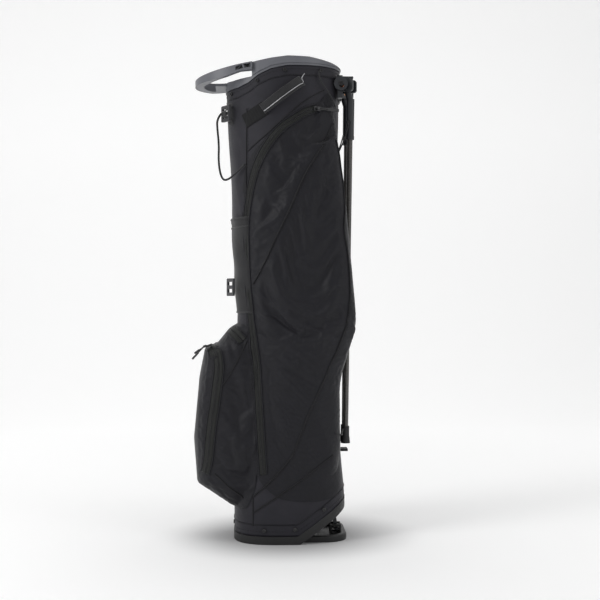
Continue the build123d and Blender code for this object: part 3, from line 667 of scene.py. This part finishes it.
def every(places, step, offset=0.0, lift=0.0):
    """Places at equal steps along a framed line, moved sideways and up."""
    kept = []
    travelled = step
    for i, (point, normal, across) in enumerate(places):
        if i:
            travelled += (point - places[i - 1][0]).length
        if travelled >= step:
            travelled = 0.0
            kept.append((point + across * offset + normal * lift, normal, across))
    return kept


# ---- materials ---------------------------------------------------------------------

CRINKLE = 0.0009  # height of the cloth's soft crinkles, in metres


def new_material(name):
    """An empty material with its principled shader."""
    made = bpy.data.materials.new(name)
    made.use_nodes = True
    return made, made.node_tree.nodes, made.node_tree.links, made.node_tree.nodes["Principled BSDF"]


def texture(nodes, kind, **values):
    """A texture node with its sockets set."""
    node = nodes.new(kind)
    for key, value in values.items():
        node.inputs[key].default_value = value
    return node


def mixed_colour(nodes, links, factor, low, high):
    """A colour ramp between two colours."""
    ramp = nodes.new("ShaderNodeValToRGB")
    ramp.color_ramp.elements[0].color = (*low, 1)
    ramp.color_ramp.elements[1].color = (*high, 1)
    links.new(factor, ramp.inputs["Fac"])
    return ramp.outputs["Color"]


def bumped(nodes, links, height, shader, distance, strength, before=None):
    """A bump node in front of the shader."""
    bump = nodes.new("ShaderNodeBump")
    bump.inputs["Distance"].default_value = distance
    bump.inputs["Strength"].default_value = strength
    links.new(height, bump.inputs["Height"])
    if before is not None:
        links.new(before.outputs["Normal"], bump.inputs["Normal"])
    links.new(bump.outputs["Normal"], shader.inputs["Normal"])
    return bump


def woven(name, dark, light, pitch, roughness, sheen, uv):
    """Woven cloth: crossing threads, a faint mottle and soft crinkles."""
    made, nodes, links, shader = new_material(name)
    coords = nodes.new("ShaderNodeTexCoord")
    source = coords.outputs["UV"] if uv else coords.outputs["Object"]
    scale = 2 * math.pi / (20 * pitch)
    warp = texture(nodes, "ShaderNodeTexWave", Scale=scale, Distortion=0.6)
    warp.bands_direction = "X"
    weft = texture(nodes, "ShaderNodeTexWave", Scale=scale, Distortion=0.6)
    weft.bands_direction = "Y" if uv else "Z"
    links.new(source, warp.inputs["Vector"])
    links.new(source, weft.inputs["Vector"])
    cross = nodes.new("ShaderNodeMath")
    cross.operation = "MULTIPLY"
    links.new(warp.outputs["Fac"], cross.inputs[0])
    links.new(weft.outputs["Fac"], cross.inputs[1])
    mottle = texture(nodes, "ShaderNodeTexNoise", Scale=38.0, Detail=5.0, Roughness=0.6)
    links.new(coords.outputs["Object"], mottle.inputs["Vector"])
    tone = nodes.new("ShaderNodeMath")
    tone.operation = "ADD"
    half = nodes.new("ShaderNodeMath")
    half.operation = "MULTIPLY"
    half.inputs[1].default_value = 0.35
    links.new(cross.outputs[0], half.inputs[0])
    links.new(half.outputs[0], tone.inputs[0])
    links.new(mottle.outputs["Fac"], tone.inputs[1])
    links.new(mixed_colour(nodes, links, tone.outputs[0], dark, light), shader.inputs["Base Color"])
    soft = texture(nodes, "ShaderNodeTexNoise", Scale=70.0, Detail=4.0, Roughness=0.55)
    links.new(coords.outputs["Object"], soft.inputs["Vector"])
    first = bumped(nodes, links, soft.outputs["Fac"], shader, CRINKLE, 0.5)
    bumped(nodes, links, cross.outputs[0], shader, pitch * 0.18, 0.55, first)
    shader.inputs["Roughness"].default_value = roughness
    shader.inputs["Sheen Weight"].default_value = sheen
    shader.inputs["Sheen Roughness"].default_value = 0.45
    shader.inputs["Specular IOR Level"].default_value = 0.28
    return made


def moulded(name, dark, light, roughness, grain=900.0, depth=0.00012, specular=0.5, metallic=0.0):
    """Moulded plastic, rubber or metal with a fine grain and uneven gloss."""
    made, nodes, links, shader = new_material(name)
    coords = nodes.new("ShaderNodeTexCoord")
    fine = texture(nodes, "ShaderNodeTexNoise", Scale=grain, Detail=3.0, Roughness=0.6)
    broad = texture(nodes, "ShaderNodeTexNoise", Scale=26.0, Detail=4.0, Roughness=0.6)
    links.new(coords.outputs["Object"], fine.inputs["Vector"])
    links.new(coords.outputs["Object"], broad.inputs["Vector"])
    tone = mixed_colour(nodes, links, broad.outputs["Fac"], dark, light)
    links.new(tone, shader.inputs["Base Color"])
    span = nodes.new("ShaderNodeMapRange")
    span.inputs["To Min"].default_value = roughness - 0.07
    span.inputs["To Max"].default_value = roughness + 0.09
    links.new(broad.outputs["Fac"], span.inputs["Value"])
    links.new(span.outputs["Result"], shader.inputs["Roughness"])
    bumped(nodes, links, fine.outputs["Fac"], shader, depth, 0.6)
    shader.inputs["Specular IOR Level"].default_value = specular
    shader.inputs["Metallic"].default_value = metallic
    return made


def carbon(name):
    """Carbon-look tube: a diagonal twill under a clear coat."""
    made, nodes, links, shader = new_material(name)
    coords = nodes.new("ShaderNodeTexCoord")
    turned = nodes.new("ShaderNodeMapping")
    turned.inputs["Rotation"].default_value = (0.0, math.radians(45), 0.0)
    links.new(coords.outputs["Object"], turned.inputs["Vector"])
    checks = texture(nodes, "ShaderNodeTexChecker", Scale=520.0)
    links.new(turned.outputs["Vector"], checks.inputs["Vector"])
    dark, light = (0.016, 0.015, 0.014), (0.085, 0.080, 0.074)
    tone = mixed_colour(nodes, links, checks.outputs["Fac"], dark, light)
    links.new(tone, shader.inputs["Base Color"])
    bumped(nodes, links, checks.outputs["Fac"], shader, 0.00008, 0.4)
    shader.inputs["Roughness"].default_value = 0.38
    shader.inputs["Coat Weight"].default_value = 0.5
    shader.inputs["Coat Roughness"].default_value = 0.12
    return made


# Dark colour, light colour, thread pitch, roughness, sheen, and whether it follows the UV map.
WOVEN = {
    "fabric_panel": ((0.0088, 0.0084, 0.0118), (0.0200, 0.0191, 0.0262), 0.0011, 0.55, 0.07, True),
    "fabric_pocket": ((0.0034, 0.0033, 0.0052), (0.0072, 0.0070, 0.0110), 0.0011, 0.5, 0.035, True),
    "stretch_mesh": ((0.006, 0.006, 0.007), (0.02, 0.02, 0.022), 0.0022, 0.7, 0.2, False),
    "webbing": ((0.006, 0.006, 0.007), (0.022, 0.022, 0.024), 0.0018, 0.6, 0.25, True),
    "strap_pad": ((0.009, 0.009, 0.010), (0.024, 0.024, 0.027), 0.0026, 0.7, 0.35, True),
    "divider_cloth": ((0.02, 0.02, 0.022), (0.04, 0.04, 0.044), 0.0012, 0.8, 0.4, False),
    "zip_tape": ((0.006, 0.0064, 0.006), (0.0125, 0.0135, 0.0125), 0.0012, 0.6, 0.08, True),
    "patch": ((0.0025, 0.0025, 0.003), (0.011, 0.011, 0.012), 0.0026, 0.75, 0.0, True),
    "elastic": ((0.008, 0.008, 0.009), (0.024, 0.024, 0.026), 0.0012, 0.65, 0.2, False),
}
# Dark colour, light colour, roughness, grain scale, grain depth, specular and metallic.
MOULDED = {
    "base_plastic": ((0.0085, 0.0086, 0.009), (0.0145, 0.0146, 0.0152),
                     0.48, 1100.0, 0.00016, 0.42),
    "rim_plastic": ((0.094, 0.097, 0.110), (0.142, 0.146, 0.164), 0.40, 1100.0, 0.00012),
    "bracket_plastic": ((0.012, 0.013, 0.016), (0.026, 0.028, 0.033), 0.38),
    "buckle_plastic": ((0.03, 0.03, 0.034), (0.05, 0.05, 0.055), 0.35),
    "slider_metal": ((0.01, 0.01, 0.011), (0.03, 0.03, 0.032), 0.3, 700.0, 0.00008, 0.6, 0.4),
    "pull_rubber": ((0.012, 0.012, 0.013), (0.026, 0.026, 0.028), 0.5, 900.0),
    "boot_rubber": ((0.008, 0.008, 0.009), (0.018, 0.018, 0.02), 0.65, 800.0, 0.0003),
    "screw_steel": ((0.02, 0.02, 0.021), (0.045, 0.045, 0.047), 0.22, 900.0, 0.00005, 0.5, 0.7),
    "pin_brass": ((0.45, 0.22, 0.12), (0.62, 0.34, 0.2), 0.3, 900.0, 0.00005, 0.5, 1.0),
    "rod_steel": ((0.35, 0.35, 0.36), (0.5, 0.5, 0.52), 0.3, 900.0, 0.00005, 0.5, 1.0),
    "stay_fibre": ((0.15, 0.15, 0.135), (0.24, 0.24, 0.21), 0.4),
    "thread": ((0.005, 0.005, 0.006), (0.014, 0.014, 0.016), 0.7, 900.0, 0.00012, 0.3),
    "reflective": ((0.35, 0.35, 0.36), (0.55, 0.55, 0.57), 0.35, 900.0, 0.00005, 0.5, 0.6),
}
LOOKS = {name: woven(name + "_look", *values) for name, values in WOVEN.items()}
LOOKS.update((name, moulded(name + "_look", *values)) for name, values in MOULDED.items())
LOOKS["carbon_tube"] = carbon("carbon_tube_look")
for entry in frame["record"]["subparts"]:
    node = frame["nodes"][entry["node"]]
    node.data.materials.clear()
    node.data.materials.append(LOOKS[entry["material_slot"]])


# ---- building ----------------------------------------------------------------------

tube = make_tube()
SKIN = make_skin([tube, make_side_pocket(), make_ball_pocket()])
TUBE_SKIN = make_skin([tube])

for name, line, radius in (
    ("diagonal_piping", DIAGONAL_SEAM, 0.0015),
    ("right_piping", RIGHT_SEAM, 0.0015),
    ("base_piping", BASE_SEAM, 0.0012),
    ("front_seam_piping", FRONT_SEAM, 0.0011),
    ("low_seam_piping", LOW_SEAM, 0.0011),
    ("yoke_piping", YOKE_SEAM, 0.0010),
    ("ball_seam_piping", BALL_SEAM, 0.0012),
    ("ball_low_piping", BALL_LOW_SEAM, 0.0012),
):
    made = raised(name, along_fabric(seen_from(line)), radius * PIPING_LIFT, radius)
    finish_piece(made, "webbing", look="thread")


def zip_run(name, points, width, coil):
    """A zip: its tape, its coil, and the folded edges of cloth beside it."""
    places = along_fabric(points)
    tape = ribbon(name + "_tape", points, width, 0.0008, 7)
    finish_piece(tape, "zip_tape", [name])
    teeth = beads(name + "_coil", every(places, 0.0019, 0.0, 0.0008), (0.0012, coil, 0.0011))
    finish_piece(teeth, "slider_metal")
    for side, label in ((1, "upper"), (-1, "lower")):
        edge = [point + across * (side * (width / 2 + 0.0006)) for point, _, across in places]
        lip = frame_along(on_skin(edge))
        welt = raised(name + "_welt_" + label, lip, 0.0004, 0.0013)
        finish_piece(welt, "fabric_pocket")
        stitch_line(name + "_stitches_" + label, lip, side * 0.003)


def stitch_line(name, places, offset):
    """A row of stitches beside a framed line on the skin."""
    kept = []
    for point, normal, across in every(places, STITCH_STEP, offset):
        kept.append((outermost(SKIN, point, normal)[0], normal, across))
    finish_piece(beads(name, kept, STITCH), "webbing", look="thread")


zip_run("side_zip", seen_from(SIDE_ZIP), 0.0135, 0.0036)
over_the_top = [
    SKIN.ray_cast(Vector((x, y, 450)) * MM, Vector((0, 0, -1)))[0] for x, y in BALL_ZIP_TOP
]
ball_zip = seen_from(BALL_ZIP)[::-1] + over_the_top + seen_from(BALL_ZIP, 1)
zip_run("ball_zip", ball_zip, 0.0185, 0.0044)
zip_run("shoulder_zip", seen_from(SHOULDER_ZIP), 0.019, 0.003)
for label, line in (
    ("diagonal", DIAGONAL_SEAM), ("right", RIGHT_SEAM), ("base", BASE_SEAM), ("front", FRONT_SEAM),
):
    stitch_line(label + "_seam_stitches", along_fabric(seen_from(line)), 0.0034)


def round_the_tube(low, offset):
    """Framed places on the tube's skin along its lower or upper edge."""
    marks = []
    for angle in np.linspace(0, 2 * math.pi, TUBE_COLS, endpoint=False):
        z = 860.0
        for _ in range(4):
            left, right, half, power, _ = [float(v) for v in station(TUBE, np.array(z))]
            reach = float(oval_radius((right - left) / 2, half, power, np.array(angle)))
            x = (left + right) / 2 + reach * math.cos(angle)
            if low:
                z = max(TRIM, (x - HEEL_X) * math.tan(SLOPE) + RISE) + offset
            else:
                z = float(np.interp(x, *np.array(FABRIC_TOP, float).T)) - offset
        marks.append(Vector((x, reach * math.sin(angle), z)) * MM)
    marks.append(marks[0].copy())
    places = []
    for point in smooth_line(marks):
        out = Vector((point.x, point.y, 0)).normalized()
        found, facing = outermost(TUBE_SKIN, point, out)
        places.append((found, facing if facing.dot(out) > 0 else -facing))
    return frame_along(places)


for label, low, offset in (
    ("base", True, 9.0), ("base_upper", True, 20.0),
    ("mouth", False, 7.0), ("mouth_lower", False, 17.0),
):
    made = beads(label + "_hem_stitches", every(round_the_tube(low, offset), HEM_STEP), HEM_STITCH)
    finish_piece(made, "webbing", look="thread")
for label, low, offset in (("base", True, 21.5), ("mouth", False, 18.5)):
    made = raised(label + "_hem_edge", round_the_tube(low, offset), 0.0002, 0.0009)
    finish_piece(made, "fabric_pocket")


def band(name, points, across, width, thick, crown, lumps=0.0, quilting=0.0):
    """A strap along a route: flat or padded, with rounded edges."""
    line = smooth_line([Vector(p) * MM for p in points])
    side = Vector(across).normalized()
    rows = []
    travelled = 0.0
    for i, point in enumerate(line):
        ahead = line[min(i + 1, len(line) - 1)] - line[max(i - 1, 0)]
        if i:
            travelled += (point - line[i - 1]).length
        ahead = ahead.normalized()
        across_here = (side - ahead * side.dot(ahead)).normalized()
        out = ahead.cross(across_here)
        swell = 1.0 + lumps * math.sin(travelled * 95)
        if quilting:
            swell *= 1.0 - 0.45 * math.exp(-((travelled % quilting - quilting / 2) / 0.003) ** 2)
        row = []
        for k in range(28):
            turn = 2 * math.pi * k / 28
            u = math.copysign(abs(math.cos(turn)) ** 0.45, math.cos(turn)) * width / 2
            v = math.copysign(abs(math.sin(turn)) ** 0.7, math.sin(turn)) * thick / 2
            v *= 1 - crown * (2 * u / width) ** 2
            row.append(tuple((point + across_here * u * MM + out * v * MM * swell) / MM))
        rows.append(row)
    return lattice(name, np.array(rows), capped=True)


patch = ribbon("handle_patch_cloth", seen_from(HANDLE_PATCH), 0.027, 0.0011, 9)
finish_piece(patch, "patch", ["handle_patch"])
webbing = band("grab_webbing", GRAB, GRAB_ACROSS, 20, 2.2, 0.1)
finish_piece(webbing, "webbing", ["grab_handle"])
finish_piece(band("buckle_tab", BUCKLE_TAB, BUCKLE_TAB_ACROSS, 16, 1.2, 0.1), "webbing")
across = Vector(GRAB_ACROSS).normalized()
shine = [Vector(p) * MM - across * 0.0045 + Vector((0, -0.0016, 0)) for p in GRAB]
shine = smooth_line(shine + [Vector(p) * MM for p in SHINE_TAIL])
finish_piece(tube_along("grab_reflective_edge", shine, 0.00065), "webbing", look="reflective")


def sleeve():
    """The stretch sleeve on the front, with a rolled hem at its mouth and its foot."""
    rows = []
    angles = np.linspace(math.pi - SLEEVE_TURN, math.pi + SLEEVE_TURN, 90)
    levels = np.linspace(*SLEEVE_Z, 90)
    left, right, half, power, _ = station(TUBE, levels[:, None] + 0 * angles[None, :])
    base = oval_radius((right - left) / 2, half, power, angles[None, :])
    slack = 2.2 + 0.9 * np.sin(levels[:, None] * 0.07 + angles[None, :] * 6)
    slack = slack + 1.6 * np.exp(-((levels[:, None] - 597) / 5) ** 2)
    edge = np.clip((SLEEVE_TURN - np.abs(angles - math.pi)) / 0.1, 0, 1)[None, :]
    for reach in (base + 0.6 + slack * edge, base + 0.3 + (slack - 0.9) * edge):
        x = (left + right) / 2 + reach * np.cos(angles)[None, :]
        y = reach * np.sin(angles)[None, :]
        rows.append(np.stack([x, y, levels[:, None] + 0 * x], axis=2))
    skin = np.concatenate([rows[0], rows[1][::-1]], axis=0)
    return lattice("bottle_sleeve_knit", skin, closed=False), rows[0]


knit, knit_rows = sleeve()
finish_piece(knit, "stretch_mesh", ["bottle_sleeve"])
for label, row in (("mouth", -1), ("foot", 0), ("hem", -9)):
    line = [Vector(p) * MM for p in knit_rows[row]]
    finish_piece(tube_along("sleeve_" + label + "_edge", line, 0.0015), "webbing")


def nurbs_cord(name, points, radius, slot, replaces):
    """A round cord as one open spline through its route."""
    curve = bpy.data.curves.new(name, "CURVE")
    curve.dimensions = "3D"
    curve.bevel_depth = radius * MM
    curve.bevel_resolution = 3
    curve.resolution_u = 8
    spline = curve.splines.new("NURBS")
    spline.points.add(len(points) - 1)
    for point, place in zip(spline.points, points):
        point.co = (place[0] * MM, place[1] * MM, place[2] * MM, 1)
    spline.order_u = 3
    spline.use_endpoint_u = True
    curve.materials.append(LOOKS[slot])
    obj = placed(name, curve)
    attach(obj, "bag")
    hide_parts(replaces)
    return obj


tape = nurbs_cord("tape_loop_cord", TAPE_LOOP, 2.0, "webbing", "tape_loop")
tether = nurbs_cord("tether_elastic", TETHER, 1.2, "elastic", "tether_cord")
keeper = nurbs_cord("keeper_elastic", KEEPER, 1.3, "elastic", "keeper_loop")


def plate(name, corners, y_low, y_high, slot, look=None):
    """A flat piece from its outline in side view, between two values of Y."""
    bm = bmesh.new()
    near = [bm.verts.new((x * MM, y_low * MM, z * MM)) for x, z in corners]
    far = [bm.verts.new((x * MM, y_high * MM, z * MM)) for x, z in corners]
    bm.faces.new(near)
    bm.faces.new(far[::-1])
    for k in range(len(near)):
        bm.faces.new((near[k - 1], far[k - 1], far[k], near[k]))
    bmesh.ops.recalc_face_normals(bm, faces=bm.faces)
    return finish_piece(from_bmesh(name, bm), slot, look=look)


for side, label in ((-1, "near"), (1, "far")):
    for number, corners in enumerate(HANDLE_RIBS):
        low, high = sorted((side * (RIB_Y[number] - 2), side * (RIB_Y[number] + 2)))
        plate(f"handle_rib_{label}_{number}", corners, low, high, "rim_plastic")
    # The web belongs to the rim plastic but is drawn with the darker bracket look: painted shade
    # inside the handle's windows.
    low, high = sorted(side * y for y in WEB_Y)
    plate("handle_web_painted_shade_" + label, HANDLE_WEB, low, high, "rim_plastic", "bracket_plastic")
    line = []
    for a in np.linspace(0, 2 * math.pi, 40):
        x = 94 + 6.5 * math.cos(a) + 0.9 * math.sin(a)
        line.append(Vector((x, side * (26 + 8.5 * math.cos(a)), 720 + 19 * math.sin(a))) * MM)
    facing = Vector((1, side * 0.25, 0)).normalized()
    ring = frame_along([(outermost(TUBE_SKIN, point, facing)[0], facing) for point in line])
    lip = raised("wire_slot_edge_" + label, ring, 0.0006, 0.0014)
    finish_piece(lip, "webbing", look="boot_rubber")

for side, label in ((1, "near"), (-1, "far")):
    line = smooth_line([Vector((x, y * side, z)) * MM for x, y, z in PUSH_WIRE])
    wire = tube_along("push_wire_rod_" + label, line, 0.00125)
    wire.data.materials.append(LOOKS["slider_metal"])
    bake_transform(wire)
    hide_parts("push_wire_" + label)


def pad(name, x_range, z_range, grow, bulge, quilts):
    """A cushion on the far side of the tube, swelling between its stitched edges."""
    cols, levels = 46, 70
    xs = np.linspace(*x_range, cols)
    zs = np.linspace(*z_range, levels)
    z = zs[:, None] + 0 * xs[None, :]
    x = xs[None, :] + 0 * z
    left, right, half, power, _ = station(TUBE, z)
    middle, a = (left + right) / 2, (right - left) / 2
    y = half * (1 - np.abs((x - middle) / a) ** power) ** (1 / power)
    u = (x - x_range[0]) / (x_range[1] - x_range[0]) * 2 - 1
    v = (z - z_range[0]) / (z_range[1] - z_range[0]) * 2 - 1
    round_off = np.clip(1 - np.abs(u) ** 5, 0, 1) * np.clip(1 - np.abs(v) ** 8, 0, 1)
    quilt = 1 - 0.5 * np.exp(-((v * quilts + quilts) % 2 - 1) ** 2 / 0.01)
    height = grow + bulge * round_off ** 0.5 * quilt
    outer = np.stack([x, y + height, z], axis=2)
    inner = np.stack([x, y + 0.4, z], axis=2)
    return lattice(name, np.concatenate([outer, inner[::-1], outer[:1]], axis=0), closed=False)


cushion = pad("hip_cushion", (-24, 71), (522, 688), 0.8, 11.5, 3)
finish_piece(cushion, "strap_pad", ["hip_pad"])
strap = band("strap_cushion", STRAP, (0.86, 0.5, 0), 52, 9, 0.35, 0.05, 0.062)
finish_piece(strap, "strap_pad", ["shoulder_strap"])


# ---- stage, camera and light -------------------------------------------------------

# Floor colours: a painted contact shadow round the bag's base, and the floor's own pale colour away
# from it.
FLOOR_PAINTED_SHADOW = (0.36, 0.36, 0.365)
FLOOR_FAR = (0.93, 0.93, 0.93)


def make_stage():
    """A pale floor that runs up into a pale wall, with a shadow painted dark into its colour round
    the base, glowing away from it.
    """
    bm = bmesh.new()
    profile = [(-3.0, 0.0), (1.6, 0.0)]
    for i in range(1, 13):
        turn = math.pi / 2 * i / 12
        profile.append((1.6 + 1.2 * math.sin(turn), 1.2 * (1 - math.cos(turn))))
    profile.append((2.8, 5.0))
    rows = [[bm.verts.new((x, y, z)) for x in (-5, 5)] for y, z in profile]
    for a, b in zip(rows, rows[1:]):
        bm.faces.new((a[0], a[1], b[1], b[0]))
    floor = from_bmesh("floor", bm)
    for face in floor.data.polygons:
        face.use_smooth = True
    made, nodes, links, shader = new_material("floor_look")
    shader.inputs["Roughness"].default_value = 0.8
    shader.inputs["Emission Color"].default_value = (1, 1, 1, 1)
    coords = nodes.new("ShaderNodeTexCoord")
    # Painted contact shadow: the floor's colour darkens towards an oval round the bag's base.
    painted_shadow_spot = nodes.new("ShaderNodeMapping")
    painted_shadow_spot.inputs["Location"].default_value = (-0.09, 0.0, 0.0)
    painted_shadow_spot.inputs["Scale"].default_value = (5.0, 5.6, 0.0)
    links.new(coords.outputs["Object"], painted_shadow_spot.inputs["Vector"])
    painted_shadow_reach = nodes.new("ShaderNodeVectorMath")
    painted_shadow_reach.operation = "LENGTH"
    links.new(painted_shadow_spot.outputs["Vector"], painted_shadow_reach.inputs[0])
    shade = nodes.new("ShaderNodeMapRange")
    shade.interpolation_type = "SMOOTHSTEP"
    for socket, value in (("From Min", 0.35), ("From Max", 1.35)):
        shade.inputs[socket].default_value = value
    links.new(painted_shadow_reach.outputs["Value"], shade.inputs["Value"])
    tone = mixed_colour(nodes, links, shade.outputs["Result"], FLOOR_PAINTED_SHADOW, FLOOR_FAR)
    links.new(tone, shader.inputs["Base Color"])
    reach = nodes.new("ShaderNodeVectorMath")
    reach.operation = "LENGTH"
    links.new(coords.outputs["Object"], reach.inputs[0])
    glow = nodes.new("ShaderNodeMapRange")
    for socket, value in zip(("From Min", "From Max", "To Min", "To Max"), (0.3, 1.7, 0.04, 0.175)):
        glow.inputs[socket].default_value = value
    links.new(reach.outputs["Value"], glow.inputs["Value"])
    links.new(glow.outputs["Result"], shader.inputs["Emission Strength"])
    floor.data.materials.append(made)


def area_light(name, place, target, size, power):
    """A soft box."""
    data = bpy.data.lights.new(name, "AREA")
    data.shape = "RECTANGLE"
    data.size, data.size_y = size
    data.energy = power
    lamp = placed(name, data)
    lamp.location = place
    lamp.rotation_euler = (Vector(target) - Vector(place)).to_track_quat("-Z", "Y").to_euler()


make_stage()
area_light("key_light", (-2.3, -1.3, 1.9), (0, 0, 0.5), (0.9, 1.8), 30)
area_light("fill_light", (2.2, -1.6, 1.3), (0, 0, 0.5), (1.0, 1.8), 8)
area_light("top_light", (0.0, 0.1, 2.7), (0, 0, 0.4), (2.0, 2.0), 20)
world = bpy.data.worlds.new("studio")
world.use_nodes = True
world.node_tree.nodes["Background"].inputs["Color"].default_value = (1, 1, 1, 1)
world.node_tree.nodes["Background"].inputs["Strength"].default_value = 0.5
bpy.context.scene.world = world
bpy.context.scene.view_settings.view_transform = "Standard"

VIEW_TURN = math.radians(3.0)
VIEW_DISTANCE = 2.0
VIEW_TARGET = (0.0325, 0.0, 0.448)
camera_data = bpy.data.cameras.new("camera")
camera_data.lens = 62.7
camera = placed("camera", camera_data)
camera.location = (VIEW_TARGET[0] - VIEW_DISTANCE * math.sin(VIEW_TURN),
                   VIEW_TARGET[1] - VIEW_DISTANCE * math.cos(VIEW_TURN), VIEW_TARGET[2])
camera.rotation_euler = (math.pi / 2, 0, -VIEW_TURN)
bpy.context.scene.camera = camera
